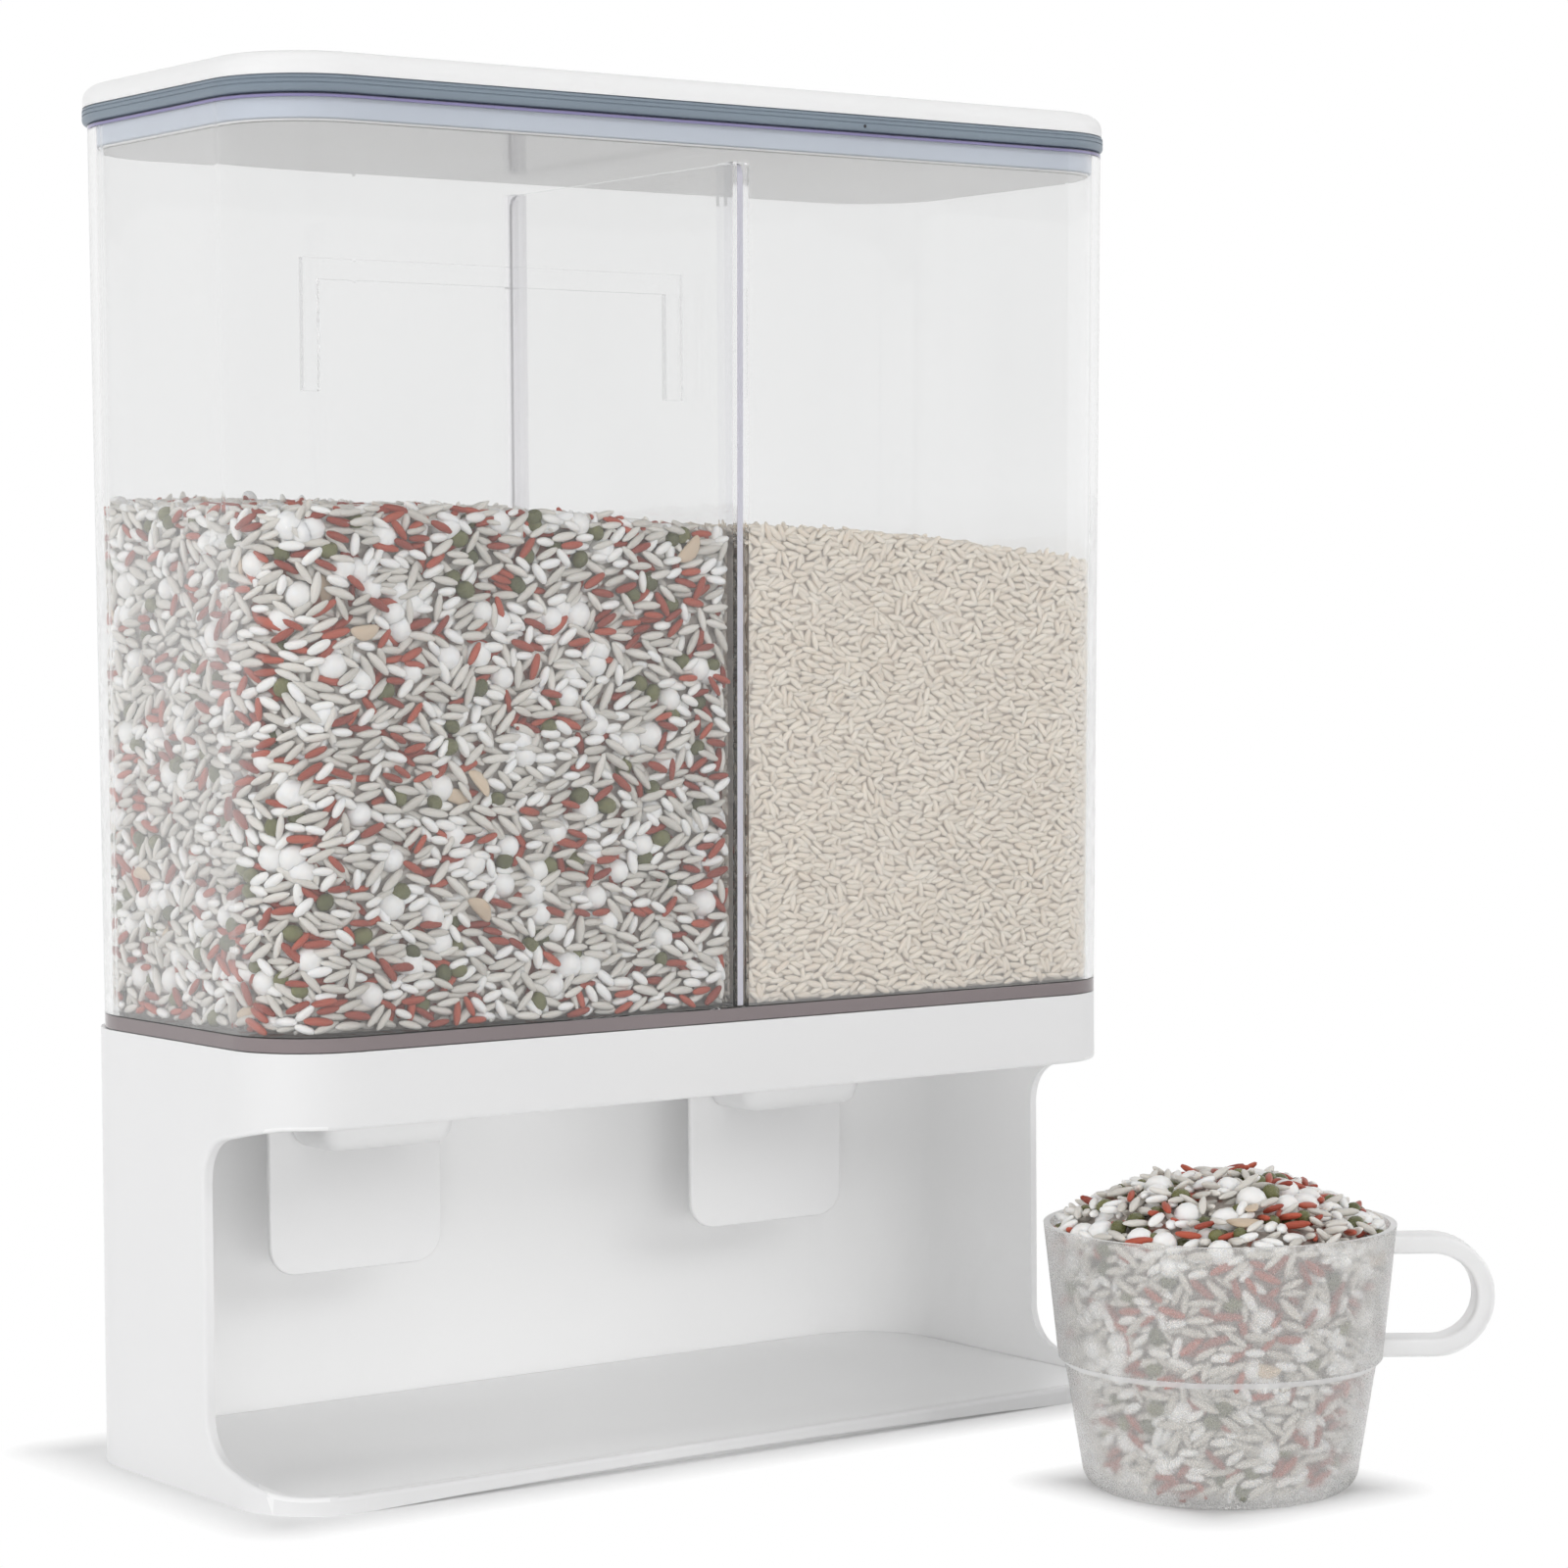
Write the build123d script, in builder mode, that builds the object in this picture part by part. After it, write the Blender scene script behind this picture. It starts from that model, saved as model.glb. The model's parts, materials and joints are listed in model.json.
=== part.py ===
from build123d import *
from math import cos, hypot, radians, sin
import os

# Wall-mounted rice dispenser: a clear tank with two chambers and a sealed lid on a white base.
# Each chamber empties through a sprung flap that a cup pushes open. Millimetres, +Z up,
# +X to the right, +Y towards the wall, origin at the centre of the footprint on the floor.

os.makedirs("parts", exist_ok=True)

# Footprint
body_width = 300.0
body_depth = 126.0
front_corner = 25.0
rear_corner = 30.0

# Base
base_height = 126.0
base_wall = 3.0
bay_headroom = 21.0
bay_side_depth = 43.5
bay_side_corner = 13.0
bay_side_drop = 6.5
bay_side_rise = 7.9
bay_lip_length = 10.0
bay_lip_bend = 40.0
floor_thickness = 5.0
edge_round = 1.2
edge_tolerance = 0.01
tray_gap = 0.3
tray_skin = 2.0
tray_rib = 1.6
tray_pad_radius = 9.0
ceiling_thickness = 3.0
ceiling_step = 2.0
foot_arch = 1.8

# Tank
tank_wall = 2.5
tank_floor = 4.3
tank_height = 258.0
tank_flare = 2.9
tank_back_recess = 2.5
guide_depth = 5.5
guide_thickness = 1.5
guide_clearance = 0.3
divider_offset = 3.5
divider_thickness = 2.0
divider_below_rim = 10.8
divider_edge_gap = 0.5
divider_corner = 4.0
funnel_side_margin = 16.0
funnel_length = 96.0
funnel_drop = 12.0
funnel_corner = 12.0
funnel_skin = 2.2
throat_width = 34.0
throat_length = 13.0
throat_corner = 3.0
throat_wall = 2.0
outlet_from_front = 76.0
shoulder_width = 3.5
shoulder_thickness = 2.0
seal_height = 2.5
seal_gap = 0.2
hanger_width = 139.4
hanger_leg = 6.3
hanger_drop = 40.0
hanger_below_rim = 32.4

# Lid
seat_gap = 0.3
gasket_height = 4.9
gasket_overhang = 0.7
gasket_round = 1.8
gasket_top_round = 0.6
gasket_lip_depth = 6.4
gasket_lip_thickness = 1.5
gasket_lip_gap = 0.4
lid_height = 6.5
lid_inset = 0.4
lid_top_round = 4.4
lid_skin = 2.4
plug_depth = 7.2
plug_skin = 2.0
plug_edge_round = 0.5
plug_gap = 0.1

# Spouts and push plates
spout_width = 44.0
spout_from_front = 65.0
spout_drop = 18.0
spout_wall = 2.0
spout_round = 6.0
spout_mouth_rim = 5.0
spout_plate_gap = 0.8
flange_thickness = 3.0
flange_half_width = 42.0
flange_front_margin = 4.0
flange_back_margin = 7.0
hinge_from_front = 88.3
hinge_below_ceiling = 7.5
barrel_radius = 3.2
barrel_gap = 0.6
pin_radius = 1.25
pin_clearance = 0.06
pin_head_radius = 2.2
pin_head_thickness = 0.8
plate_width = 58.6
plate_thickness = 2.0
plate_length = 48.5
plate_corner = 9.0
plate_edge_round = 0.7
flap_width = 36.0
flap_reach = 20.0
flap_thickness = 2.0
pad_width = 35.6
pad_from_tip = 0.5
pad_length = 15.5
pad_thickness = 1.2
pad_gap = 0.3
side_gap = 0.4
ear_thickness = 3.0
ear_radius = 3.8

# Return springs
spring_wire = 0.8
spring_turns = 4
spring_steps = 36
spring_pitch = 1.3
spring_coil_radius = 1.75
spring_leg = 9.0
spring_slot_start = 19.1
spring_slot_width = 7.2
spring_slot_drop = 4.2

# Screws
screw_radius = 1.5
screw_clearance = 0.1
screw_head_radius = 2.8
screw_head_height = 1.8
spout_screw_length = 9.0
tank_screw_length = 11.0
boss_radius = 3.6
spout_boss_height = 5.0
spout_screw_x = 37.5
spout_screw_y = 11.5
tank_screw_side_inset = 9.0
tank_screw_end_inset = 13.0

# Measuring cup
cup_x = 82.0
cup_y = -180.0
cup_turn = -36.4
cup_rim_radius = 49.0
cup_step_radius = 45.0
cup_step = 1.8
cup_foot_radius = 38.6
cup_foot_round = 7.0
cup_height = 74.0
cup_step_height = 35.0
cup_wall = 1.8
handle_reach = 76.0
handle_low = 36.5
handle_high = 70.5
handle_bar = 5.2
handle_width = 11.0
handle_round = 1.2

# Grain: levels above the tank's floor at four places from left to right, as shares of the tank's height
grain_gap = 0.3
mixed_front_fill = (0.5504, 0.5562, 0.5504, 0.5291)
mixed_back_fill = (0.5659, 0.5756, 0.5678, 0.5485)
rice_front_fill = (0.5368, 0.5310, 0.5136, 0.4903)
rice_back_fill = (0.5504, 0.5465, 0.5349, 0.5194)
heap_height = 16.0

# Places worked out from the sizes above
front_y = -body_depth / 2
back_y = body_depth / 2
half_width = body_width / 2
tank_bottom = base_height
tank_top = tank_bottom + tank_height
tank_back = back_y - tank_back_recess
bay_height = base_height - bay_headroom
floor_top = tank_bottom + tank_floor
ceiling_low = bay_height + ceiling_step
ceiling_top = ceiling_low + ceiling_thickness
throat_top = floor_top - funnel_drop
outlet_y = front_y + outlet_from_front
outlet_spacing = body_width / 2
funnel_width = outlet_spacing - 2 * funnel_side_margin
outlet_xs = {"left": -outlet_spacing / 2, "right": outlet_spacing / 2}
hinge_y = front_y + hinge_from_front
hinge_z = ceiling_low - hinge_below_ceiling
flange_low = ceiling_low - flange_thickness
pad_low = hinge_z + flap_thickness
throat_low = pad_low + pad_thickness + pad_gap
shoulder_low = ceiling_top + seal_height + seal_gap
divider_top = tank_top - divider_below_rim
channel = divider_thickness + 2 * guide_clearance
gasket_low = tank_top + seat_gap
gasket_top = gasket_low + gasket_height
plug_low = tank_top - plug_depth
throat_outer_width = throat_width + 2 * throat_wall
throat_outer_length = throat_length + 2 * throat_wall
throat_outer_corner = throat_corner + throat_wall
tank_screw_x = half_width - tank_screw_side_inset
tank_screw_y = back_y - tank_screw_end_inset
tank_screw_places = ((0, tank_screw_y), (0, -tank_screw_y), (tank_screw_x, 0), (-tank_screw_x, 0))
past = 1.0


def footprint(height, grow_front, grow_side, grow_back, grow_corner):
    """Rounded outline of the body at a height, grown or shrunk on each side."""
    left = -half_width - grow_side
    right = half_width + grow_side
    front = front_y - grow_front
    back = back_y + grow_back
    near = max(front_corner + grow_corner, 0.5)
    far = max(rear_corner + grow_corner, 0.5)
    with BuildSketch(Plane.XY.offset(height)) as outline:
        with BuildLine():
            Line((left + near, front), (right - near, front))
            RadiusArc((right - near, front), (right, front + near), -near)
            Line((right, front + near), (right, back - far))
            RadiusArc((right, back - far), (right - far, back), -far)
            Line((right - far, back), (left + far, back))
            RadiusArc((left + far, back), (left, back - far), -far)
            Line((left, back - far), (left, front + near))
            RadiusArc((left, front + near), (left + near, front), -near)
        make_face()
    return outline.sketch


def inset_from_outline(point):
    """How far a point on the front or the sides lies inside the footprint's outline."""
    across = abs(point.X) - (half_width - front_corner)
    along = front_y + front_corner - point.Y
    if across > 0 and along > 0:
        return front_corner - hypot(across, along)
    return min(half_width - abs(point.X), point.Y - front_y)


def inside_base(height, gap=0.0):
    """Inner outline of the base's walls at a height, less a gap."""
    inset = -base_wall - gap
    return footprint(height, inset, inset, inset, inset)


def flare_at(height):
    """How far the tank's front and sides have moved out at a height."""
    return tank_flare * (height - tank_bottom) / tank_height


def tank_outline(height, inset):
    """Outline of the tank at a height, inset from its outer faces."""
    grow = flare_at(height) - inset
    return footprint(height, grow, grow, -tank_back_recess - inset, grow)


def rounded_block(width, length, corner, x, y, low, high):
    """Upright block with rounded corners between two heights."""
    with BuildPart() as block:
        with BuildSketch(Plane((x, y, low))):
            RectangleRounded(width, length, corner)
        extrude(amount=high - low)
    return block.part


def funnel(x, spread, lower):
    """Hopper from a wide mouth in the tank's floor to the throat, grown by a spread and lowered."""
    with BuildPart() as hopper:
        with BuildSketch(Plane((x, 0, floor_top - lower))):
            RectangleRounded(funnel_width + 2 * spread, funnel_length + 2 * spread, funnel_corner)
        with BuildSketch(Plane((x, outlet_y, throat_top - lower))):
            RectangleRounded(throat_width + 2 * spread, throat_length + 2 * spread, throat_corner)
        loft(ruled=True)
    return hopper.part


def tank_inside(inset):
    """Space inside the tank above its floor, less the guide ribs, kept an inset from every wall."""
    high = tank_top + past
    with BuildPart() as space:
        loft(
            [tank_outline(floor_top + inset, tank_wall + inset), tank_outline(high, tank_wall + inset)],
            ruled=True,
        )
        rib_x = (channel + guide_thickness) / 2
        rib_ends = (front_y + tank_wall + guide_depth + inset, tank_back - tank_wall - guide_depth - inset)
        for side in (-1, 1):
            with BuildSketch(Plane.XY.offset(floor_top)):
                with Locations((divider_offset + side * rib_x, rib_ends[0])):
                    Rectangle(guide_thickness + 2 * inset, body_depth / 2, align=(Align.CENTER, Align.MAX))
                with Locations((divider_offset + side * rib_x, rib_ends[1])):
                    Rectangle(guide_thickness + 2 * inset, body_depth / 2, align=(Align.CENTER, Align.MIN))
            extrude(amount=divider_top - floor_top, mode=Mode.SUBTRACT)
    return space.part


# Base shell: walls all round, a ceiling over the bay and the bay cut out of the front and the sides
with BuildPart() as base_shell:
    extrude(footprint(0, 0, 0, 0, 0), amount=base_height)
    extrude(inside_base(ceiling_top), amount=base_height, mode=Mode.SUBTRACT)
    extrude(inside_base(0), amount=ceiling_low, mode=Mode.SUBTRACT)
    # Bay seen from the side, its deep end rounded and its lips sloping to the front
    with BuildSketch(Plane.YZ.offset(-half_width - past)) as bay_side:
        with BuildLine():
            Polyline(
                (front_y - past, floor_thickness),
                (front_y + bay_lip_length, floor_thickness),
                (front_y + bay_side_depth, floor_thickness + bay_side_rise),
                (front_y + bay_side_depth, bay_height - bay_side_drop),
                (front_y + bay_lip_length, bay_height),
                (front_y - past, bay_height),
                close=True,
            )
        make_face()
        fillet(bay_side.vertices().group_by(Axis.X)[1], radius=bay_lip_bend)
        fillet(bay_side.vertices().group_by(Axis.X)[-1], radius=bay_side_corner)
    extrude(amount=body_width + 2 * past, mode=Mode.SUBTRACT)
    fillet(
        base_shell.edges(Select.LAST).filter_by(lambda edge: inset_from_outline(edge @ 0.5) < edge_tolerance),
        radius=edge_round,
    )
    # Shallow arch under the front edge, so that the base stands on its corners
    with BuildSketch(Plane.XZ.offset(-front_y + past)):
        with BuildLine():
            ThreePointArc((-half_width + front_corner, 0), (0, foot_arch), (half_width - front_corner, 0))
            Line((half_width - front_corner, 0), (-half_width + front_corner, 0))
        make_face()
    extrude(amount=-base_wall - 2 * past, mode=Mode.SUBTRACT)
    # Bosses that take the spouts' screws
    with BuildSketch(Plane.XY.offset(ceiling_top)):
        for x in outlet_xs.values():
            with Locations((x, outlet_y)):
                with GridLocations(2 * spout_screw_x, 2 * spout_screw_y, 2, 2):
                    Circle(boss_radius)
    extrude(amount=spout_boss_height)
    # Holes in the ceiling for the outlets and the screws
    with BuildSketch(Plane.XY.offset(ceiling_low)):
        for x in outlet_xs.values():
            with Locations((x, outlet_y)):
                RectangleRounded(
                    throat_outer_width + 2 * side_gap,
                    throat_outer_length + 2 * side_gap,
                    throat_outer_corner + side_gap,
                )
                with GridLocations(2 * spout_screw_x, 2 * spout_screw_y, 2, 2):
                    Circle(screw_radius + screw_clearance)
        with Locations(*tank_screw_places):
            Circle(screw_radius + screw_clearance)
    extrude(amount=ceiling_thickness + spout_boss_height, mode=Mode.SUBTRACT)
base_shell.part.label = "base_shell"
export_step(base_shell.part, "parts/base_shell.step")

# Floor tray: a ribbed plate inside the base's walls, with a round pad at its centre to stand on
with BuildPart() as floor_tray:
    extrude(inside_base(0, tray_gap), amount=floor_thickness)
    extrude(inside_base(0, tray_gap + tray_rib), amount=floor_thickness - tray_skin, mode=Mode.SUBTRACT)
    with BuildSketch(Plane.XY):
        with GridLocations(outlet_spacing / 2, 0, 3, 1):
            Rectangle(tray_rib, body_depth - 2 * (base_wall + tray_gap))
        Rectangle(body_width - 2 * (base_wall + tray_gap), tray_rib)
        Circle(tray_pad_radius)
    extrude(amount=floor_thickness - tray_skin)
floor_tray.part.label = "floor_tray"
export_step(floor_tray.part, "parts/floor_tray.step")

# Tank: flared walls, a floor with two funnels, guide ribs and the hanger ridge on its back
with BuildPart() as tank:
    loft([tank_outline(tank_bottom, 0), tank_outline(tank_top, 0)], ruled=True)
    for x in outlet_xs.values():
        add(funnel(x, funnel_skin, funnel_skin))
        add(rounded_block(
            throat_outer_width, throat_outer_length, throat_outer_corner, x, outlet_y, throat_low, throat_top
        ))
        add(rounded_block(
            throat_outer_width + 2 * shoulder_width,
            throat_outer_length + 2 * shoulder_width,
            throat_outer_corner + shoulder_width,
            x,
            outlet_y,
            shoulder_low,
            shoulder_low + shoulder_thickness,
        ))
    with BuildSketch(Plane.XY.offset(ceiling_top)):
        with Locations(*tank_screw_places):
            Circle(boss_radius)
    extrude(amount=tank_bottom - ceiling_top)
    with BuildSketch(Plane.XY.offset(ceiling_top)):
        with Locations(*tank_screw_places):
            Circle(screw_radius + screw_clearance)
    extrude(amount=tank_screw_length - ceiling_thickness + past, mode=Mode.SUBTRACT)
    for x in outlet_xs.values():
        add(funnel(x, 0, 0), mode=Mode.SUBTRACT)
        add(
            rounded_block(
                throat_width,
                throat_length,
                throat_corner,
                x,
                outlet_y,
                throat_low - past,
                throat_top + past,
            ),
            mode=Mode.SUBTRACT,
        )
    add(tank_inside(0), mode=Mode.SUBTRACT)
    # Hanger ridge: an arch of straight bars, open below, that sits over a wall plate
    hanger_top = tank_top - hanger_below_rim
    with BuildSketch(Plane.XZ.offset(-tank_back)):
        with Locations((0, hanger_top)):
            Rectangle(hanger_width, hanger_drop, align=(Align.CENTER, Align.MAX))
        with Locations((0, hanger_top - hanger_leg)):
            Rectangle(
                hanger_width - 2 * hanger_leg,
                hanger_drop,
                align=(Align.CENTER, Align.MAX),
                mode=Mode.SUBTRACT,
            )
    extrude(amount=-tank_back_recess)
tank.part.label = "tank"
export_step(tank.part, "parts/tank.step")

# Divider: one plate that slides down between the guide ribs
with BuildPart() as divider:
    divider_low = floor_top + seat_gap
    divider_front_low = front_y - flare_at(divider_low) + tank_wall + divider_edge_gap
    divider_front_high = front_y - flare_at(divider_top) + tank_wall + divider_edge_gap
    divider_back = tank_back - tank_wall - divider_edge_gap
    with BuildSketch(Plane.YZ.offset(divider_offset - divider_thickness / 2)) as divider_side:
        with BuildLine():
            Polyline(
                (divider_front_low, divider_low),
                (divider_back, divider_low),
                (divider_back, divider_top),
                (divider_front_high, divider_top),
                close=True,
            )
        make_face()
        fillet(divider_side.vertices().group_by(Axis.Y)[-1], radius=divider_corner)
    extrude(amount=divider_thickness)
divider.part.label = "divider"
export_step(divider.part, "parts/divider.step")

# Lid gasket: a flat ring with a bulging edge on the tank's rim and a lip down inside the tank
gasket_grow = tank_flare + gasket_overhang
lip_outer = tank_wall + gasket_lip_gap
lip_inner = lip_outer + gasket_lip_thickness
lip_back = tank_back_recess
with BuildPart() as lid_gasket:
    extrude(footprint(gasket_low, gasket_grow, gasket_grow, 0, gasket_grow), amount=gasket_height)
    fillet(lid_gasket.edges().group_by(Axis.Z)[0], radius=gasket_round)
    fillet(lid_gasket.edges().group_by(Axis.Z)[-1], radius=gasket_top_round)
    lip_low = tank_top - gasket_lip_depth
    extrude(
        footprint(
            lip_low,
            tank_flare - lip_outer,
            tank_flare - lip_outer,
            -lip_back - lip_outer,
            tank_flare - lip_outer,
        ),
        amount=gasket_low - lip_low,
    )
    extrude(
        footprint(
            lip_low,
            tank_flare - lip_inner,
            tank_flare - lip_inner,
            -lip_back - lip_inner,
            tank_flare - lip_inner,
        ),
        amount=gasket_top - lip_low,
        mode=Mode.SUBTRACT,
    )
lid_gasket.part.label = "lid_gasket"
export_step(lid_gasket.part, "parts/lid_gasket.step")

# Lid plug: a shallow tray inside the gasket's lip
plug_inset = lip_inner + plug_gap
with BuildPart() as lid_plug:
    plug_grow = tank_flare - plug_inset
    extrude(
        footprint(plug_low, plug_grow, plug_grow, -lip_back - plug_inset, plug_grow),
        amount=gasket_top - plug_low,
    )
    pocket_grow = plug_grow - plug_skin
    pocket_back = -lip_back - plug_inset - plug_skin
    extrude(
        footprint(plug_low + plug_skin, pocket_grow, pocket_grow, pocket_back, pocket_grow),
        amount=gasket_top - plug_low,
        mode=Mode.SUBTRACT,
    )
    fillet(lid_plug.edges().group_by(Axis.Z)[0], radius=plug_edge_round)
lid_plug.part.label = "lid_plug"
export_step(lid_plug.part, "parts/lid_plug.step")

# Lid cover: the white top with a rounded edge, hollow below
with BuildPart() as lid_cover:
    cover_grow = gasket_grow - lid_inset
    extrude(footprint(gasket_top, cover_grow, cover_grow, 0, cover_grow), amount=lid_height)
    fillet(lid_cover.edges().group_by(Axis.Z)[-1], radius=lid_top_round)
    extrude(
        footprint(gasket_top, pocket_grow, pocket_grow, pocket_back, pocket_grow),
        amount=lid_height - lid_skin,
        mode=Mode.SUBTRACT,
    )
lid_cover.part.label = "lid_cover"
export_step(lid_cover.part, "parts/lid_cover.step")


def trough(x, width, front, length, low, corner):
    """Block up to the flange with its front and lower edges rounded."""
    with BuildPart() as block:
        with BuildSketch(Plane((x, front, low))):
            Rectangle(width, length, align=(Align.CENTER, Align.MIN))
        extrude(amount=flange_low - low)
        front_edges = block.edges().filter_by(Axis.Z).group_by(Axis.Y)[0]
        low_edges = block.faces().sort_by(Axis.Z)[0].edges().sort_by(Axis.Y)[:-1]
        fillet(front_edges + low_edges, radius=corner)
    return block.part


# One set of outlet pieces under each chamber
for side, x in outlet_xs.items():
    # Spout: a box open at its back and below, with a flange for its screws and two ears for the pin
    with BuildPart() as spout:
        spout_low = ceiling_low - spout_drop
        spout_front = front_y + spout_from_front
        spout_back = hinge_y - plate_thickness / 2 - spout_plate_gap
        spout_length = spout_back - spout_front
        add(trough(x, spout_width, spout_front, spout_length, spout_low, spout_round))
        add(
            trough(
                x,
                spout_width - 2 * spout_wall,
                spout_front + spout_wall,
                spout_length,
                spout_low + spout_wall,
                spout_round - spout_wall,
            ),
            mode=Mode.SUBTRACT,
        )
        with BuildSketch(Plane((x, spout_front + spout_mouth_rim, spout_low - past))):
            Rectangle(
                spout_width - 2 * spout_mouth_rim,
                spout_length,
                align=(Align.CENTER, Align.MIN),
            )
        extrude(amount=spout_wall + 2 * past, mode=Mode.SUBTRACT)
        flange_front = spout_front - flange_front_margin
        flange_back = hinge_y + flange_back_margin
        with BuildSketch(Plane((x, flange_front, flange_low))):
            Rectangle(2 * flange_half_width, flange_back - flange_front, align=(Align.CENTER, Align.MIN))
        extrude(amount=flange_thickness)
        ear_x = plate_width / 2 + side_gap
        for ear_start in (ear_x, -ear_x - ear_thickness):
            with BuildSketch(Plane.YZ.offset(x + ear_start)):
                with Locations((hinge_y, hinge_z)):
                    Circle(ear_radius)
                    Rectangle(2 * ear_radius, flange_low - hinge_z, align=(Align.CENTER, Align.MIN))
            extrude(amount=ear_thickness)
        with BuildSketch(Plane.YZ.offset(x - flange_half_width)):
            with Locations((hinge_y, hinge_z)):
                Circle(pin_radius + pin_clearance)
        extrude(amount=2 * flange_half_width, mode=Mode.SUBTRACT)
        with BuildSketch(Plane.YZ.offset(x - plate_width / 2)):
            with Locations((hinge_y, hinge_z)):
                Circle(barrel_radius + barrel_gap)
        extrude(amount=plate_width, mode=Mode.SUBTRACT)
        with BuildSketch(Plane.XY.offset(flange_low)):
            with Locations((x, outlet_y)):
                RectangleRounded(
                    throat_outer_width + 2 * side_gap,
                    throat_outer_length + 2 * side_gap,
                    throat_outer_corner + side_gap,
                )
                with GridLocations(2 * spout_screw_x, 2 * spout_screw_y, 2, 2):
                    Circle(screw_radius + screw_clearance)
        extrude(amount=flange_thickness, mode=Mode.SUBTRACT)
    spout.part.label = f"{side}_spout"
    export_step(spout.part, f"parts/{side}_spout.step")

    # Push plate: the hanging plate, its barrel on the pin and the flap that closes the outlet
    with BuildPart() as push_plate:
        plate_low = hinge_z - plate_length
        with BuildSketch(Plane.XZ.offset(-hinge_y + plate_thickness / 2)) as plate_face:
            with Locations((x, plate_low)):
                Rectangle(plate_width, plate_length, align=(Align.CENTER, Align.MIN))
            fillet(plate_face.vertices().group_by(Axis.Y)[0], radius=plate_corner)
        extrude(amount=-plate_thickness)
        rim = push_plate.edges().filter_by(Plane.XZ)
        fillet(rim.sort_by(Axis.Z)[:-2], radius=plate_edge_round)
        with BuildSketch(Plane.YZ.offset(x - plate_width / 2)):
            with Locations((hinge_y, hinge_z)):
                Circle(barrel_radius)
        extrude(amount=plate_width)
        with BuildSketch(Plane((x, hinge_y - flap_reach, hinge_z))):
            Rectangle(flap_width, flap_reach, align=(Align.CENTER, Align.MIN))
        extrude(amount=flap_thickness)
        with BuildSketch(Plane.YZ.offset(x - plate_width / 2 - past)):
            with Locations((hinge_y, hinge_z)):
                Circle(pin_radius + pin_clearance)
        extrude(amount=plate_width + 2 * past, mode=Mode.SUBTRACT)
        slot_start = x + spring_slot_start
        with BuildSketch(Plane((slot_start, hinge_y, hinge_z - spring_slot_drop))):
            Rectangle(spring_slot_width, 2 * barrel_radius + 2 * past, align=(Align.MIN, Align.CENTER))
        extrude(amount=spring_slot_drop + barrel_radius + past, mode=Mode.SUBTRACT)
    push_plate.part.label = f"{side}_push_plate"
    export_step(push_plate.part, f"parts/{side}_push_plate.step")

    # Flap pad: the soft sheet on the flap that meets the outlet's rim
    with BuildPart() as flap_pad:
        with BuildSketch(Plane((x, hinge_y - flap_reach + pad_from_tip, pad_low))):
            Rectangle(pad_width, pad_length, align=(Align.CENTER, Align.MIN))
        extrude(amount=pad_thickness)
    flap_pad.part.label = f"{side}_flap_pad"
    export_step(flap_pad.part, f"parts/{side}_flap_pad.step")

    # Hinge pin: a plain pin with a small head
    with BuildPart() as hinge_pin:
        pin_start = x - ear_x - ear_thickness
        with BuildSketch(Plane.YZ.offset(pin_start)):
            with Locations((hinge_y, hinge_z)):
                Circle(pin_radius)
        extrude(amount=2 * (ear_x + ear_thickness))
        with BuildSketch(Plane.YZ.offset(pin_start)):
            with Locations((hinge_y, hinge_z)):
                Circle(pin_head_radius)
        extrude(amount=-pin_head_thickness)
    hinge_pin.part.label = f"{side}_hinge_pin"
    export_step(hinge_pin.part, f"parts/{side}_hinge_pin.step")

    # Return spring: a coil round the pin, one leg up to the flange and one down behind the plate
    with BuildPart() as return_spring:
        coil_length = spring_turns * spring_pitch
        coil_start = slot_start + (spring_slot_width - coil_length) / 2
        coil_plane = Plane((coil_start, hinge_y, hinge_z), x_dir=(0, 1, 0), z_dir=(1, 0, 0))
        coil = coil_plane.from_local_coords(Edge.make_helix(spring_pitch, coil_length, spring_coil_radius))
        with BuildSketch(Plane(origin=coil @ 0, z_dir=coil % 0)):
            Circle(spring_wire / 2)
        sweep(path=coil, is_frenet=True)
        samples = [coil @ (i / (spring_steps * spring_turns)) for i in range(spring_steps * spring_turns + 1)]
        half_turn = spring_steps // 2
        spans = [
            (point - other).length for i, point in enumerate(samples) for other in samples[i + half_turn:]
        ]
        print(f"{side} return spring: least gap between turns {min(spans) - spring_wire:.2f} mm")
        with BuildSketch(Plane(origin=coil @ 0, z_dir=coil % 0)):
            Circle(spring_wire / 2)
        extrude(amount=-spring_leg)
        with BuildSketch(Plane(origin=coil @ 1, z_dir=coil % 1)):
            Circle(spring_wire / 2)
        extrude(amount=flange_low - seat_gap - hinge_z)
    return_spring.part.label = f"{side}_return_spring"
    export_step(return_spring.part, f"parts/{side}_return_spring.step")

    # Outlet seal: a soft ring round the outlet, between the tank's shoulder and the ceiling
    with BuildPart() as outlet_seal:
        with BuildSketch(Plane((x, outlet_y, ceiling_top))):
            RectangleRounded(
                throat_outer_width + 2 * shoulder_width,
                throat_outer_length + 2 * shoulder_width,
                throat_outer_corner + shoulder_width,
            )
            RectangleRounded(
                throat_outer_width + 2 * seal_gap,
                throat_outer_length + 2 * seal_gap,
                throat_outer_corner + seal_gap,
                mode=Mode.SUBTRACT,
            )
        extrude(amount=seal_height)
    outlet_seal.part.label = f"{side}_outlet_seal"
    export_step(outlet_seal.part, f"parts/{side}_outlet_seal.step")

# Spout screws, up through the flanges into the ceiling's bosses
with BuildPart() as spout_screws:
    for x in outlet_xs.values():
        for low, radius, length in (
            (flange_low - screw_head_height, screw_head_radius, screw_head_height),
            (flange_low, screw_radius, spout_screw_length),
        ):
            with BuildSketch(Plane((x, outlet_y, low))):
                with GridLocations(2 * spout_screw_x, 2 * spout_screw_y, 2, 2):
                    Circle(radius)
            extrude(amount=length)
spout_screws.part.label = "spout_screws"
export_step(spout_screws.part, "parts/spout_screws.step")

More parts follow.
